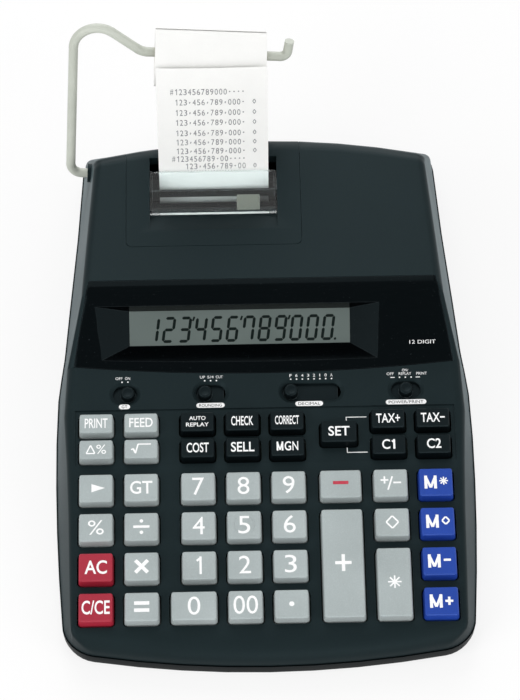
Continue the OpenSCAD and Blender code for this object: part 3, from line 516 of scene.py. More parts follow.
# %% [markdown]
# ## Letters and bars of ink
# A legend is a film of ink less than a tenth of a millimetre thick. Words are text objects turned into
# meshes and stretched to the width and height that they have on the key. Signs such as plus and minus are
# bars: a cube at its size whose upright edges are bevelled, a little for square ends, in one full step for
# pointed ends and in several for round ones. Bars that cross are united with Boolean modifiers. Work in
# edit mode always ends in object mode again, so a `with` block takes care of both.

# %% Ink helpers
INK = 0.06 * MM
TEXT_DEPTH = 0.1
BOLD = 0.014
LIGHT = 0.0
THICKNESS_STEP = 0.06


def only(piece):
    """Selects one object alone and makes it active."""
    bpy.ops.object.select_all(action="DESELECT")
    piece.select_set(True)
    bpy.context.view_layer.objects.active = piece


@contextlib.contextmanager
def editing(piece, kind="VERT", chosen=None):
    """Edit mode on one piece, with all of it selected, or only the edges or faces that a test chooses."""
    only(piece)
    bpy.ops.object.mode_set(mode="EDIT")
    bpy.ops.mesh.select_mode(type=kind)
    bpy.ops.mesh.select_all(action="DESELECT" if chosen else "SELECT")
    if chosen:
        bpy.ops.object.mode_set(mode="OBJECT")
        for part in piece.data.edges if kind == "EDGE" else piece.data.polygons:
            part.select = chosen(part)
        bpy.ops.object.mode_set(mode="EDIT")
    yield
    bpy.ops.object.mode_set(mode="OBJECT")


def heal(piece):
    """Merges doubled corners and turns every face outwards."""
    with editing(piece):
        bpy.ops.mesh.remove_doubles(threshold=SAME_POINT)
        bpy.ops.mesh.normals_make_consistent(inside=False)


def smooth(piece, degrees):
    """Shades a piece smooth, apart from edges sharper than that."""
    only(piece)
    bpy.ops.object.shade_smooth_by_angle(angle=math.radians(degrees))


def carve(piece, other, operation, solver):
    """Applies a Boolean with another piece, which is used up."""
    step = piece.modifiers.new("cross", "BOOLEAN")
    step.operation = operation
    step.solver = solver
    step.object = other
    only(piece)
    bpy.ops.object.modifier_apply(modifier="cross")
    bpy.data.objects.remove(other)


def plate(length, width, depth):
    """A flat box round the origin, with its size in its mesh."""
    piece = added(bpy.ops.mesh.primitive_cube_add, size=1, scale=(length, width, depth))
    bpy.ops.object.transform_apply(location=False, rotation=False, scale=True)
    return piece


def copied(piece, place):
    """A copy of a piece, with its own mesh, moved to a place."""
    copy = piece.copy()
    copy.data = piece.data.copy()
    bpy.context.scene.collection.objects.link(copy)
    copy.data.transform(place)
    return copy


def limits(points):
    """Lowest and highest corner of the box round some points."""
    axes = list(zip(*points))
    return Vector(min(axis) for axis in axes), Vector(max(axis) for axis in axes)


def span(piece):
    """Lowest and highest corner of a mesh."""
    return limits(vertex.co for vertex in piece.data.vertices)


def words(text, width, height, weight=LIGHT, x=0, y=0):
    """Words in ink, centred on a point of a plane; sizes in millimetres."""
    lettering = added(bpy.ops.object.text_add).data
    lettering.body = text
    lettering.offset = weight
    lettering.extrude = TEXT_DEPTH / 2
    lettering.resolution_u = 4
    bpy.ops.object.convert(target="MESH")
    piece = bpy.context.object
    low, high = span(piece)
    size = high - low
    fit = Matrix.Diagonal((width * MM / size.x, height * MM / size.y, INK / TEXT_DEPTH, 1))
    centred = fit @ Matrix.Translation(-(low + high) / 2)
    piece.data.transform(at(FLAT, x, y) @ centred)
    heal(piece)
    return piece


SQUARE = (0.1, 2)
POINTED = (0.498, 1)
ROUND = (0.498, 5)


def bar(x0, y0, x1, y1, width, end=SQUARE):
    """A bar of ink between two ends; the corners are cut back by a share of its width, in steps."""
    run = Vector((x1 - x0, y1 - y0, 0)) * MM
    piece = plate(run.length, width * MM, INK)

    def upright_edge(edge):
        first, second = (piece.data.vertices[corner].co for corner in edge.vertices)
        return abs(first.z - second.z) > INK / 2

    with editing(piece, "EDGE", upright_edge):
        bpy.ops.mesh.bevel(offset=end[0] * width * MM, segments=end[1], affect="EDGES")
    turn = Matrix.Rotation(math.atan2(run.y, run.x), 4, "Z")
    piece.data.transform(at(FLAT, (x0 + x1) / 2, (y0 + y1) / 2) @ turn)
    return piece


def united(pieces):
    """One solid from bars that cross; each is a little thicker than the last, so no two faces coincide."""
    for step, other in enumerate(pieces[1:], 1):
        other.data.transform(Matrix.Diagonal((1, 1, 1 + THICKNESS_STEP * step, 1)))
        carve(pieces[0], other, "UNION", "MANIFOLD")
    return pieces[0]


def dot(x, y, width):
    return bar(x - width / 2, y, x + width / 2, y, width, ROUND)


def joined(pieces, name, place, finish, body):
    """Joins pieces of ink into one, sets it on a plane and lets it ride on a body."""
    bpy.ops.object.select_all(action="DESELECT")
    for piece in pieces:
        piece.select_set(True)
    bpy.context.view_layer.objects.active = pieces[0]
    if len(pieces) > 1:
        bpy.ops.object.join()
    piece = bpy.context.object
    piece.name = name
    piece.data.name = name
    piece.data.transform(place)
    piece.data.materials.clear()
    piece.data.materials.append(finish)
    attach(piece, body)
    return piece


print("ink film", INK / MM, "mm thick")

# %% [markdown]
# ## Key legends
# Each key carries its figure, word or sign in the middle of its top. The top is found from the highest
# corners of the key's solid, seen in the deck's plane. The legend rides on the key's own body, so that it
# goes down with the key.

# %% Legends on the keys
TOP_BAND = 0.05 * MM
RIDGE_RING = 5.2 * MM
RIDGE_WIDTH = 0.3 * MM
RIDGE_REACH = 3.6 * MM
RIDGE_FLATNESS = 0.7
KEY_WORDS = {
    "key_print": [("PRINT", 11.7, 5.4, BOLD)],
    "key_feed": [("FEED", 12.0, 5.2, BOLD)],
    "key_replay": [("AUTO", 8.4, 2.2, BOLD, 0, 1.9), ("REPLAY", 11.6, 2.2, BOLD, 0, -1.7)],
    "key_check": [("CHECK", 11.2, 5.3, BOLD)],
    "key_correct": [("CORRECT", 12.2, 5.0, BOLD)],
    "key_set": [("SET", 10.8, 5.4, BOLD)],
    "key_tax_plus": [("TAX+", 12.2, 5.2, BOLD)],
    "key_tax_minus": [("TAX−", 12.2, 5.2, BOLD)],
    "key_cost": [("COST", 11.3, 5.5, BOLD)],
    "key_sell": [("SELL", 11.9, 5.5, BOLD)],
    "key_margin": [("G", 3.3, 5.2, BOLD, 0.1), ("N", 2.9, 5.0, 0.006, 3.9)],
    "key_rate_1": [("C", 4.1, 5.5, BOLD, -1.5)],
    "key_rate_2": [("C2", 7.3, 5.5, BOLD)],
    "key_delta_percent": [("%", 5.0, 5.2, LIGHT, 2.6)],
    "key_grand_total": [("GT", 11.3, 7.2, BOLD)],
    "key_percent": [("%", 8.0, 7.9)],
    "key_all_clear": [("AC", 11.2, 7.4, BOLD)],
    "key_clear": [("C/CE", 14.0, 7.4, BOLD)],
    "key_0": [("0", 6.3, 9.8)],
    "key_00": [("00", 12.2, 9.8)],
}
for figure in range(2, 10):
    KEY_WORDS[f"key_{figure}"] = [(str(figure), 6.0, 9.6)]


def star(x, y, reach, width, arms):
    """Bars crossing at one point."""
    turns = [math.pi * arm / arms for arm in range(arms)]
    ends = [(reach * math.cos(turn), reach * math.sin(turn)) for turn in turns]
    return [(x - dx, y - dy, x + dx, y + dy, width) for dx, dy in ends]


def outline(points, width):
    """Bars along a closed line."""
    pairs = zip(points, points[1:] + points[:1])
    return [(*first, *second, width, ROUND) for first, second in pairs]


def diamond(x, y, half_width, half_height):
    corners = [(x + half_width, y), (x, y + half_height), (x - half_width, y), (x, y - half_height)]
    return outline(corners, 0.85)


def letter_m(x, width, height, stroke):
    """A heavy letter M from two posts and two slanting bars."""
    half, foot = width / 2 - stroke / 2, height / 2
    posts = [(x + side * half, -foot, x + side * half, foot, stroke) for side in (-1, 1)]
    high, low = foot - stroke * 0.45, stroke * 0.4 - foot
    slants = [(x + side * half, high, x, low, stroke * 0.85) for side in (-1, 1)]
    return posts + slants


def figure_one(x, height, stroke):
    """A figure one: a post with a flag."""
    top = height / 2
    flag = (x + stroke * 0.2, top - stroke * 0.55, x - height * 0.2, height * 0.25, stroke)
    return [(x, -top, x, top, stroke), flag]


MEMORY_M = letter_m(-2.7, 6.3, 7.2, 1.5)
KEY_BARS = {
    "key_1": figure_one(0.7, 9.6, 1.15),
    "key_rate_1": figure_one(2.6, 5.4, 1.0),
    "key_margin": letter_m(-3.9, 3.4, 5.0, 0.85),
    "key_delta_percent": outline([(-5.0, -2.3), (-2.8, 2.3), (-0.6, -2.3)], 0.7),
    "key_root": [
        (-5.1, -0.6, -3.9, 0.1, 0.8, ROUND), (-4.1, 0.2, -2.8, -2.6, 0.9, ROUND),
        (-2.9, -2.7, -1.5, 2.6, 0.8, ROUND), (-1.7, 2.5, 5.0, 2.5, 0.7)],
    "key_minus": [(-3.9, 0.6, 3.9, 0.6, 1.8)],
    "key_sign": [
        (-5.1, 1.6, -1.1, 1.6, 0.9), (-3.1, -0.4, -3.1, 3.6, 0.9),
        (-1.5, -3.9, 0.9, 3.6, 0.85), (1.3, 0.1, 5.3, 0.1, 0.95)],
    "key_divide": [
        (-4.1, 0, 4.1, 0, 1.35),
        (-0.95, 3.1, 0.95, 3.1, 1.9, ROUND), (-0.95, -3.1, 0.95, -3.1, 1.9, ROUND)],
    "key_multiply": [(-3.1, -3.3, 3.1, 3.3, 1.9), (-3.1, 3.3, 3.1, -3.3, 1.9)],
    "key_plus": [(-4.1, 0, 4.1, 0, 1.7), (0, -4.6, 0, 4.6, 1.7)],
    "key_equals": [(-3.8, 1.9, 3.8, 1.9, 1.9), (-3.8, -1.9, 3.8, -1.9, 1.9)],
    "key_point": [(-1.3, 0, 1.3, 0, 2.6, ROUND)],
    "key_subtotal": diamond(0, 0, 3.1, 3.4),
    "key_total": star(0, 0, 3.4, 0.8, 4),
    "key_memory_total": MEMORY_M + star(3.9, 0.6, 2.2, 0.65, 4),
    "key_memory_subtotal": MEMORY_M + diamond(4.0, 0.3, 1.9, 2.1),
    "key_memory_minus": MEMORY_M + [(2.0, 0.5, 5.6, 0.5, 1.2)],
    "key_memory_plus": MEMORY_M + [(1.8, 0, 5.8, 0, 1.2), (3.8, -2.2, 3.8, 2.2, 1.2)],
}


def key_face(name):
    """The plane of a key's top, with its origin in the middle of the top."""
    corners = [deck.inverted() @ vertex.co for vertex in nodes[name].data.vertices]
    top = max(corner.z for corner in corners)
    low, high = limits(corner for corner in corners if corner.z > top - TOP_BAND)
    middle = (low + high) / 2
    return deck @ Matrix.Translation((middle.x, middle.y, top + INK / 4))


def arrow_head(length, width):
    """A three-sided plate that points to the right."""
    piece = added(
        bpy.ops.mesh.primitive_cylinder_add, vertices=3, radius=1, depth=1, rotation=(0, 0, -math.pi / 2))
    bpy.ops.object.transform_apply(location=False, rotation=True, scale=False)
    low, high = span(piece)
    size = high - low
    fit = Matrix.Diagonal((length * MM / size.x, width * MM / size.y, INK / size.z, 1))
    piece.data.transform(fit)
    return piece


def touch_ridges():
    """Two low arcs beside the figure five, for the finger: a flattened ring, cut away above and below."""
    ridges = added(
        bpy.ops.mesh.primitive_torus_add, major_segments=64, minor_segments=10,
        major_radius=RIDGE_RING, minor_radius=RIDGE_WIDTH)
    ridges.data.transform(Matrix.Diagonal((1, 1, RIDGE_FLATNESS, 1)))
    for side in (-1, 1):
        with editing(ridges):
            bpy.ops.mesh.bisect(
                plane_co=(0, side * RIDGE_REACH, 0), plane_no=(0, side, 0), clear_outer=True, use_fill=True)
    heal(ridges)
    smooth(ridges, 50)
    return ridges


joined([touch_ridges()], "touch_ridges", key_face("key_5"), grey_plastic, "key_5")
legends = []
for name in sorted(node for node in nodes if node.startswith("key_")):
    marks = [words(*word) for word in KEY_WORDS.get(name, [])]
    if name in KEY_BARS:
        marks.append(united([bar(*stroke) for stroke in KEY_BARS[name]]))
    if name == "key_backspace":
        marks.append(arrow_head(6.8, 4.6))
    legend_ink = red_ink if name == "key_minus" else white_ink
    legends.append(joined(marks, name.replace("key_", "legend_"), key_face(name), legend_ink, name))
print("legends on", len(legends), "keys")

# %% [markdown]
# ## Printing on the deck
# The slide switches are labelled straight on the case: a row of dots marks their positions, small words
# stand above the dots, and the name of each switch is dark on a white pill below it. A bracket joins the
# rate keys. All of it is the same ink film, laid on the deck's plane or on the band that is sunk around the
# small keys.

# %% Switch labels, dots and brackets
BAND_SINK = -0.6
FILM_LIFT = INK / 4 / MM
DOT_ROW = 152.1
WORD_ROW = 154.2
PILL_ROW = 138.0
PILL_HEIGHT = 2.7
DOT_STEP = 3.0
DOT_SIZE = 0.8
DASHES = (66.2, 79.2)
DASH_HALF = 1.1
HAIRLINE = 0.45
CORNER_LAP = 0.22
SMALL_HEIGHT = 1.5
LETTER_HEIGHT = 1.6
LETTER_WIDTH = 1.2
ONE_WIDTH = 0.35

PILLS = [("GT", -71.8, 5.7, 2.9), ("ROUNDING", -27.7, 14.5, 11.6),
         ("DECIMAL", 22.9, 14.2, 11.2), ("POWER/PRINT", 72.6, 20.8, 17.8)]
DOTS = [(-73.0, 2), (-30.5, 3), (13.75, 8), (69.75, 3)]
SMALL_WORDS = [
    ("OFF", -74.6, 3.6, 0), ("ON", -70.2, 2.6, 0),
    ("UP", -31.6, 2.6, 0), ("5/4", -27.5, 3.2, 0), ("CUT", -23.0, 3.6, 0),
    ("OFF", 65.0, 3.6, 0), ("REPLAY", 72.6, 6.4, 0), ("ON/", 72.8, 3.2, 2.0), ("PRINT", 81.2, 5.4, 0)]
BRACKET = [
    ((41.6, 127.6), (41.6, 130.1), (52.0, 130.1)),
    ((41.6, 112.9), (41.6, 110.2), (52.0, 110.2))]

deck_marks = []
for _, x, width, _ in PILLS:
    deck_marks.append(bar(x - width / 2, PILL_ROW, x + width / 2, PILL_ROW, PILL_HEIGHT, ROUND))
for left, count in DOTS:
    deck_marks += [dot(left + DOT_STEP * step, DOT_ROW, DOT_SIZE) for step in range(count)]
for text, x, width, raise_by in SMALL_WORDS:
    deck_marks.append(words(text, width, SMALL_HEIGHT, LIGHT, x, WORD_ROW + raise_by))
for step, letter in enumerate("F643210A"):
    width = ONE_WIDTH if letter == "1" else LETTER_WIDTH
    deck_marks.append(words(letter, width, LETTER_HEIGHT, LIGHT, DOTS[2][0] + DOT_STEP * step, WORD_ROW))
for x in DASHES:
    deck_marks.append(bar(x - DASH_HALF, DOT_ROW, x + DASH_HALF, DOT_ROW, HAIRLINE))
joined(deck_marks, "deck_printing", at(deck, 0, 0, FILM_LIFT), white_ink, "housing")

pill_words = [words(text, width, LETTER_HEIGHT, LIGHT, x, PILL_ROW) for text, x, _, width in PILLS]
joined(pill_words, "pill_words", at(deck, 0, 0, INK / MM), dark_ink, "housing")

bracket_bars = []
for start, corner, end in BRACKET:
    bracket_bars.append(bar(*start, *corner, HAIRLINE))
    bracket_bars.append(bar(corner[0] - CORNER_LAP, corner[1], *end, HAIRLINE))
joined(bracket_bars, "rate_bracket", at(deck, 0, 0, BAND_SINK + FILM_LIFT), white_ink, "housing")
print("deck printing:", len(PILLS), "pills,", sum(count for _, count in DOTS), "dots")

# %% [markdown]
# ## The display
# The liquid crystal is a grey plate at the bottom of the pocket, with twelve slanted figures of seven
# segments. A segment is one bar with pointed ends; it is modelled once lying and once standing, and copied
# for every figure. The slant is a shear in the mesh, so the whole row leans alike.

# %% Liquid crystal and its figures
LCD_X = -12.0
LCD_Y = 23.24
LCD_SINK = -9.0
LCD_SIZE = (114.0, 18.0, 0.3)
LCD_ROUNDING = 0.1 * MM
PANEL_LIFT = 0.1
FIGURE_LIFT = 0.27
FIGURE_WIDTH = 4.7
FIGURE_HEIGHT = 12.0
FIGURE_PITCH = 8.23
FIRST_FIGURE = -44.8
FIGURE_DROP = -0.9
SEGMENT = 1.5
SEGMENT_GAP = 0.1
GROUP_ENDS = (2, 5, 8)
SLANT = math.tan(math.radians(8))
SHOWN = "123456789000"
HALF_W, HALF_H = FIGURE_WIDTH / 2, FIGURE_HEIGHT / 2
SEGMENT_PLACES = {
    "a": (0, HALF_H), "g": (0, 0), "d": (0, -HALF_H),
    "b": (HALF_W, HALF_H / 2), "c": (HALF_W, -HALF_H / 2),
    "f": (-HALF_W, HALF_H / 2), "e": (-HALF_W, -HALF_H / 2)}
SEGMENTS = {
    "0": "abcdef", "1": "bc", "2": "abged", "3": "abgcd", "4": "fgbc",
    "5": "afgcd", "6": "afgedc", "7": "abcf", "8": "abcdefg", "9": "abcdfg"}

panel = plate(*(side * MM for side in LCD_SIZE))
with editing(panel):
    bpy.ops.mesh.bevel(offset=LCD_ROUNDING, segments=2, affect="EDGES")
panel_place = at(display, LCD_X, LCD_Y, LCD_SINK + PANEL_LIFT)
joined([panel], "crystal_panel", panel_place, crystal_face, "housing")

half_lying = HALF_W - SEGMENT_GAP
half_standing = HALF_H / 2 - SEGMENT_GAP
lying = bar(-half_lying, 0, half_lying, 0, SEGMENT, POINTED)
standing = bar(0, -half_standing, 0, half_standing, SEGMENT, POINTED)
figures = []
for step, figure in enumerate(SHOWN):
    middle = FIRST_FIGURE + FIGURE_PITCH * step
    for letter in SEGMENTS[figure]:
        x, y = SEGMENT_PLACES[letter]
        figures.append(copied(standing if x else lying, at(FLAT, middle + x, y)))
    if step in GROUP_ENDS:
        tick = middle + FIGURE_PITCH / 2
        figures.append(bar(tick - 0.5, HALF_H - 1.6, tick, HALF_H + 0.6, 1.0))
last_x = FIRST_FIGURE + FIGURE_PITCH * (len(SHOWN) - 1)
figures.append(dot(last_x + FIGURE_PITCH / 2 + 0.2, -HALF_H, 1.3))
for pattern in (lying, standing):
    bpy.data.objects.remove(pattern)
slanted = Matrix(((1, SLANT, 0, 0), (0, 1, 0, 0), (0, 0, 1, 0), (0, 0, 0, 1)))
figure_row = at(display, LCD_X, LCD_Y + FIGURE_DROP, LCD_SINK + FIGURE_LIFT) @ slanted
joined(figures, "crystal_figures", figure_row, crystal_ink, "housing")

size_words = words("12 DIGIT", 13.5, 1.9)
joined([size_words], "digit_count", at(display, 82.0, 14.5, FILM_LIFT), white_ink, "housing")
print("display shows", SHOWN, "in", len(figures), "segments")

# %% [markdown]
# ## The paper strip
# The strip comes off the back of the roll, goes down through the rear inlet, round the platen and up behind
# the tear edge, where its free end curls back a little. A cloth simulation would only find the same smooth
# line, so a grid is bent along straight runs and arcs that touch the platen and the roll, and given its
# thickness last.

# %% Path of the paper
STRIP_WIDTH = 57.5 * MM
STRIP_THICKNESS = 0.12 * MM
ROLL_RADIUS = 15 * MM
ROLL_LIFT = 0.45 * MM
WRAP_RADIUS = 6.45 * MM
GUIDE_RADIUS = 8 * MM
STEP = 1.5 * MM
OFF_ROLL_DEGREES = 70
END_TRIM = 0.5 * MM

lean = Vector(joints["cover_lift"]["axis"])
run_up = Vector((lean.y, lean.z)).normalized()
run_aft = Vector((run_up.y, -run_up.x))
lean_degrees = math.degrees(math.atan2(run_up.x, run_up.y))
roll_axis = Vector(joints["roll_turn"]["axis"]).normalized()
roll_middle = Vector(joints["roll_turn"]["pos_m"])
roll_spot = Vector(roll_middle.yz)
platen_spot = Vector(Vector(joints["platen_turn"]["pos_m"]).yz)
strip_low, strip_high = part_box("paper_strip")
strip_x = (strip_low.x + strip_high.x) / 2


def arc(middle, radius, start, end):
    """Points along an arc, in degrees from the back of the machine."""
    count = max(2, round(abs(math.radians(end - start)) * radius / STEP))
    turns = [math.radians(start + (end - start) * step / count) for step in range(count + 1)]
    return [middle + radius * Vector((math.cos(turn), math.sin(turn))) for turn in turns]


def straight(start, end):
    """Points between two ends, without the ends."""
    count = max(2, round((end - start).length / STEP))
    return [start.lerp(end, step / count) for step in range(1, count)]


off_roll = arc(roll_spot, ROLL_RADIUS + ROLL_LIFT, OFF_ROLL_DEGREES - lean_degrees, -lean_degrees)
web_top = off_roll[-1]
under = platen_spot.y - WRAP_RADIUS
drop = (under + GUIDE_RADIUS * (1 - run_up.x) - web_top.y) / run_up.y
guide_spot = web_top + drop * run_up - GUIDE_RADIUS * run_aft
guide = arc(guide_spot, GUIDE_RADIUS, -lean_degrees, -90)
platen_wrap = arc(platen_spot, WRAP_RADIUS, -90, -180 - lean_degrees)
free_start = platen_wrap[-1]
free_end = free_start + run_up * ((strip_high.z - free_start.y) / run_up.y - END_TRIM)
path = off_roll + straight(web_top, guide[0]) + guide
path += straight(guide[-1], platen_wrap[0]) + platen_wrap
bend_count = len(path)
path += straight(free_start, free_end) + [free_end]

lengths = [0.0]
for first, second in zip(path, path[1:]):
    lengths.append(lengths[-1] + (second - first).length)
strip_length = lengths[-1]
free_from = lengths[bend_count - 1]
print("paper path", round(strip_length / MM, 1), "mm in", len(path), "points")

# %% [markdown]
# One function says where a point of the paper lies in space, from its place across and along the strip and
# its height above the printed side. The grid and the printed figures both go through it, so the print
# follows the curl exactly.

# %% Bend the strip
CURL_LENGTH = 16 * MM
CURL_RADIUS = 75 * MM
CROSS_CURL = 0.7 * MM
COLUMNS = 10
STRAIGHTENED = 20


def on_paper(across_by, along_by, lift):
    """A point of the strip, from its place across, along and above the printed side, in metres."""
    last = len(path) - 1
    step = max(1, next((point for point in range(last) if lengths[point] >= along_by), last))
    share = (along_by - lengths[step - 1]) / (lengths[step] - lengths[step - 1])
    spot = path[step - 1].lerp(path[step], share)
    heading = (path[step] - path[step - 1]).normalized()
    outward = Vector((-heading.y, heading.x))
    curl_run = max(0.0, along_by - (strip_length - CURL_LENGTH))
    free_run = max(0.0, along_by - free_from) / (strip_length - free_from)
    bowed = CROSS_CURL * free_run * (2 * across_by / STRIP_WIDTH) ** 2
    spot = spot + outward * (lift - curl_run ** 2 / (2 * CURL_RADIUS) - bowed)
    on_roll = max(0.0, 1 - along_by / lengths[len(off_roll) + STRAIGHTENED])
    tilt = roll_axis * across_by - Vector((across_by, 0, 0))
    return Vector((strip_x + across_by, spot.x, spot.y)) + tilt * min(1.0, on_roll * 2)


strip = added(
    bpy.ops.mesh.primitive_grid_add, x_subdivisions=COLUMNS, y_subdivisions=len(path) - 1, size=1)
strip.name = "paper_sheet"
for vertex in strip.data.vertices:
    row = round((vertex.co.y + 0.5) * (len(path) - 1))
    vertex.co = on_paper(vertex.co.x * STRIP_WIDTH, lengths[row], 0.0)
heal(strip)
solidify = strip.modifiers.new("thickness", "SOLIDIFY")
solidify.thickness = STRIP_THICKNESS
solidify.offset = 0
only(strip)
bpy.ops.object.modifier_apply(modifier="thickness")
smooth(strip, 40)
strip.data.materials.append(white_paper)
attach(strip, "housing")
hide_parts("paper_strip")
print("strip", round(strip_length / MM, 1), "mm long,", len(strip.data.polygons), "faces")

# %% [markdown]
# The type wheel prints one figure a column, and a mark in a column of its own. Each figure is made once and
# copied along its line while the line is still flat, and then every corner goes through the same function
# as the paper.

# %% Printed lines
TEAR_RUN = 20 * MM
FIRST_COLUMN = -18.5
COLUMN_PITCH = 2.3
MARK_COLUMN = 17.5
LINE_COLUMNS = 17
FIGURE_SIZE = (1.65, 3.7)
PRINT_LIFT = STRIP_THICKNESS / 2 + 0.02 * MM
PRINT_THINNING = 0.3
SUM_ROWS = (43.1, 36.4, 30.0, 23.2, 17.2, 11.4)
LINES = [
    (49.7, "#123456789000....", " "), *((row, "123,456,789,000.", "*") for row in SUM_ROWS),
    (6.3, "#123456789.00....", " "), (1.4, "123,456,789.00", "*")]


def type_face(figure):
    """One figure of the type wheel, centred on its column."""
    if figure == "1":
        return united([bar(*stroke) for stroke in figure_one(0.25, FIGURE_SIZE[1], 0.38)])
    if figure == ".":
        return dot(0, 0, 0.8)
    if figure == ",":
        return united([dot(0, 0, 0.7), bar(0.1, 0, -0.25, -0.8, 0.35)])
    if figure == "*":
        return united([bar(*stroke[:4], 0.35) for stroke in diamond(0, 0, 0.8, 1.4)])
    return words(figure, *FIGURE_SIZE)


types = {figure: type_face(figure) for figure in "0123456789#.,*"}
printed = []
for height, text, mark in LINES:
    for column, figure in enumerate(text.rjust(LINE_COLUMNS) + mark):
        if figure != " ":
            step = MARK_COLUMN if figure == "*" else column - 1
            printed.append(copied(types[figure], at(FLAT, FIRST_COLUMN + COLUMN_PITCH * step, height)))
for pattern in types.values():
    bpy.data.objects.remove(pattern)
tape = joined(printed, "printed_lines", FLAT, ribbon_ink, "housing")
for vertex in tape.data.vertices:
    lift = PRINT_LIFT + vertex.co.z * PRINT_THINNING
    vertex.co = on_paper(vertex.co.x, free_from + TEAR_RUN + vertex.co.y, lift)
print("printed", len(LINES), "lines of", len(printed), "marks")

# %% [markdown]
# ## The paper roll
# The roll is wound on a card tube. Wound paper never ends quite flush, so the end of the roll is stepped in
# by repeated insets of random height, like a pile of thin rings. The last ring of both ends is bridged into
# the bore, and the card tube is made the same way and slipped inside.

# %% Roll and core
BORE_RADIUS = 6 * MM
CORE_RADIUS = 7.5 * MM
CORE_SHORTER = 1 * MM
TURNS = 72
FACING = 0.9
wobble = random.Random(7)


def drilled_roll(name, radius, width, bore, ring, unevenness):
    """A cylinder whose ends are stepped in by insets and joined by a bore."""
    piece = added(bpy.ops.mesh.primitive_cylinder_add, vertices=TURNS, radius=radius, depth=width)
    piece.name = name
    rings = round((radius - bore) / ring)
    for side in (1, -1):
        with editing(piece, "FACE", lambda face: face.normal.z * side > FACING):
            height = 0.0
            for _ in range(rings):
                target = -wobble.random() * unevenness
                bpy.ops.mesh.inset(thickness=(radius - bore) / rings, depth=target - height)
                height = target
    with editing(piece, "FACE", lambda face: len(face.vertices) == TURNS):
        bpy.ops.mesh.bridge_edge_loops()
    piece.data.transform(roll_place)
    heal(piece)
    smooth(piece, 30)
    return piece


roll_place = Matrix.Translation(roll_middle) @ roll_axis.to_track_quat("Z", "Y").to_matrix().to_4x4()
roll = drilled_roll("paper_windings", ROLL_RADIUS, STRIP_WIDTH, CORE_RADIUS, 0.4 * MM, 0.22 * MM)
roll.data.materials.append(white_paper)
core = drilled_roll(
    "card_core", CORE_RADIUS, STRIP_WIDTH - CORE_SHORTER, BORE_RADIUS, 0.5 * MM, 0.1 * MM)
core.data.materials.append(core_card)
for piece in (roll, core):
    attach(piece, "paper_roll")
    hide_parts("paper_roll")
print("roll", len(roll.data.polygons), "faces, core", len(core.data.polygons), "faces")

# %% [markdown]
# ## Case screws
# Six screws hold the two shells together from below, sunk in wells. A head is a short cylinder with a
# rounded rim and a cross cut by two bars with Boolean modifiers. One screw is modelled and copied to the
# wells, each turned by a random angle.

# %% Screws in the wells
HEAD_RADIUS = 2.6 * MM
HEAD_HEIGHT = 1.8 * MM
SHANK_RADIUS = 1.25 * MM
SHANK_LENGTH = 7 * MM
RIM_ROUNDING = 0.6 * MM
CROSS = (3 * MM, 0.7 * MM, 2 * MM)
WELL_TOP = 6 * MM
WELLS = [(51.0, -152.0), (89.75, -12.3), (74.0, 142.0)]


def cross_head_screw():
    screw = added(
        bpy.ops.mesh.primitive_cylinder_add, vertices=32, radius=HEAD_RADIUS, depth=HEAD_HEIGHT)
    with editing(screw, "FACE", lambda face: face.normal.z < -FACING):
        bpy.ops.mesh.bevel(offset=RIM_ROUNDING, segments=4, affect="EDGES")
    for turn in (0, math.pi / 2):
        cutter = added(
            bpy.ops.mesh.primitive_cube_add, size=1, location=(0, 0, -HEAD_HEIGHT / 2),
            rotation=(0, 0, turn), scale=CROSS)
        carve(screw, cutter, "DIFFERENCE", "EXACT")
    added(
        bpy.ops.mesh.primitive_cylinder_add, vertices=24, radius=SHANK_RADIUS, depth=SHANK_LENGTH,
        location=(0, 0, (HEAD_HEIGHT + SHANK_LENGTH) / 2))
    bpy.ops.object.transform_apply(location=True, rotation=False, scale=False)
    screw.select_set(True)
    bpy.context.view_layer.objects.active = screw
    bpy.ops.object.join()
    smooth(screw, 30)
    screw.data.materials.append(screw_steel)
    return screw


pattern = cross_head_screw()
screw_count = 0
for well_x, well_y in WELLS:
    for side in (-1, 1):
        turn = Matrix.Rotation(wobble.random() * math.pi, 4, "Z")
        spot = Vector((side * well_x * MM, well_y * MM, WELL_TOP - HEAD_HEIGHT / 2))
        screw = copied(pattern, Matrix.Translation(spot) @ turn)
        screw_count += 1
        screw.name = f"case_screw_{screw_count}"
        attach(screw, "housing")
bpy.data.objects.remove(pattern)
print("screws:", screw_count)

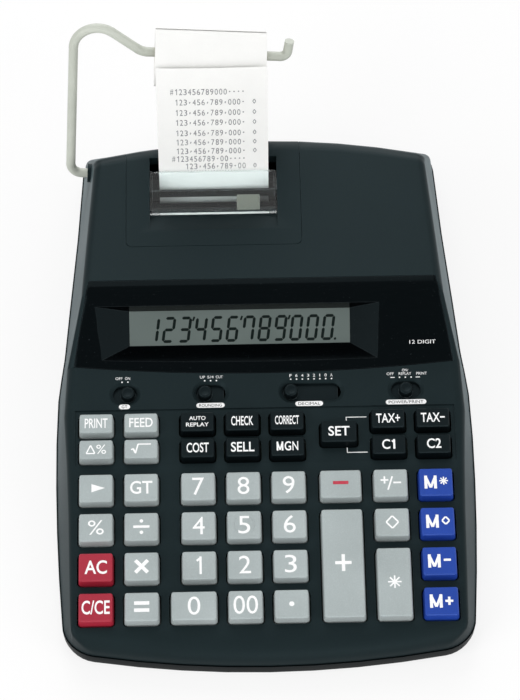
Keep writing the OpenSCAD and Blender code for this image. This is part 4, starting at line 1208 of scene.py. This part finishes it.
# %% [markdown]
# ## Floor and light
# The picture is a white cut-out under broad soft light. A pale floor catches a faint shadow, and to the
# camera it is lifted towards white by an emission that only camera, mirror and glass rays see. Two large
# lamps stand to the sides, two behind pick out the rear edge, and a low one in front reaches the upright
# paper; an even world fills in at a plain level.

# %% Floor, world and lamps
WHITE = (1, 1, 1, 1)
FLOOR_SIZE = 6
FLOOR_GLOW = 0.8
WORLD_LIGHT = 0.45
WORLD_SEEN = 1.0


def backdrop_rays(tree):
    """One for rays that come from the camera, a mirror or glass."""
    seen = tree.node("LightPath", output="Is Camera Ray")
    mirrored = tree.node("LightPath", output="Is Glossy Ray")
    through = tree.node("LightPath", output="Is Transmission Ray")
    return (seen + mirrored + through).clamp()


def lit_floor(name):
    finish = Finish(name, Roughness=0.9, Specular_IOR_Level=0.1)
    cloud = noise(finish.place, 0.4, detail=3.0)
    finish.link(Base_Color=mix(cloud, paint(243, 243, 243), paint(250, 250, 250)))
    glow = finish.tree.node("Emission", sockets={"Color": WHITE, "Strength": 1.0})
    return finish.blend(backdrop_rays(finish.tree) * FLOOR_GLOW, glow)


floor = added(bpy.ops.mesh.primitive_plane_add, size=FLOOR_SIZE)
floor.name = "studio_floor"
floor.data.materials.append(lit_floor("studio_floor"))

world = bpy.data.worlds.new("studio")
world.use_nodes = True
bpy.context.scene.world = world
sky = Signal(world.node_tree)
background = world.node_tree.nodes["Background"]
strength = WORLD_LIGHT + backdrop_rays(sky) * (WORLD_SEEN - WORLD_LIGHT)
world.node_tree.links.new(strength.socket, background.inputs["Strength"])
background.inputs["Color"].default_value = WHITE

LAMPS = [
    ((-1.1, -0.85, 0.95), 0.9, 11.0), ((1.15, -0.9, 0.9), 0.8, 6.5),
    ((-0.2, 0.95, 1.2), 0.8, 5.5), ((0.2, 1.5, 0.75), 1.2, 9.0), ((0.2, -1.7, 0.3), 0.8, 6.0)]
for place, size, power in LAMPS:
    lamp = added(bpy.ops.object.light_add, type="AREA", location=place)
    lamp.data.size = size
    lamp.data.energy = power
    lamp.rotation_mode = "QUATERNION"
    lamp.rotation_quaternion = (TARGET - Vector(place)).to_track_quat("-Z", "Y")
bpy.context.scene.view_settings.view_transform = "Standard"
print("lamps:", len(LAMPS))
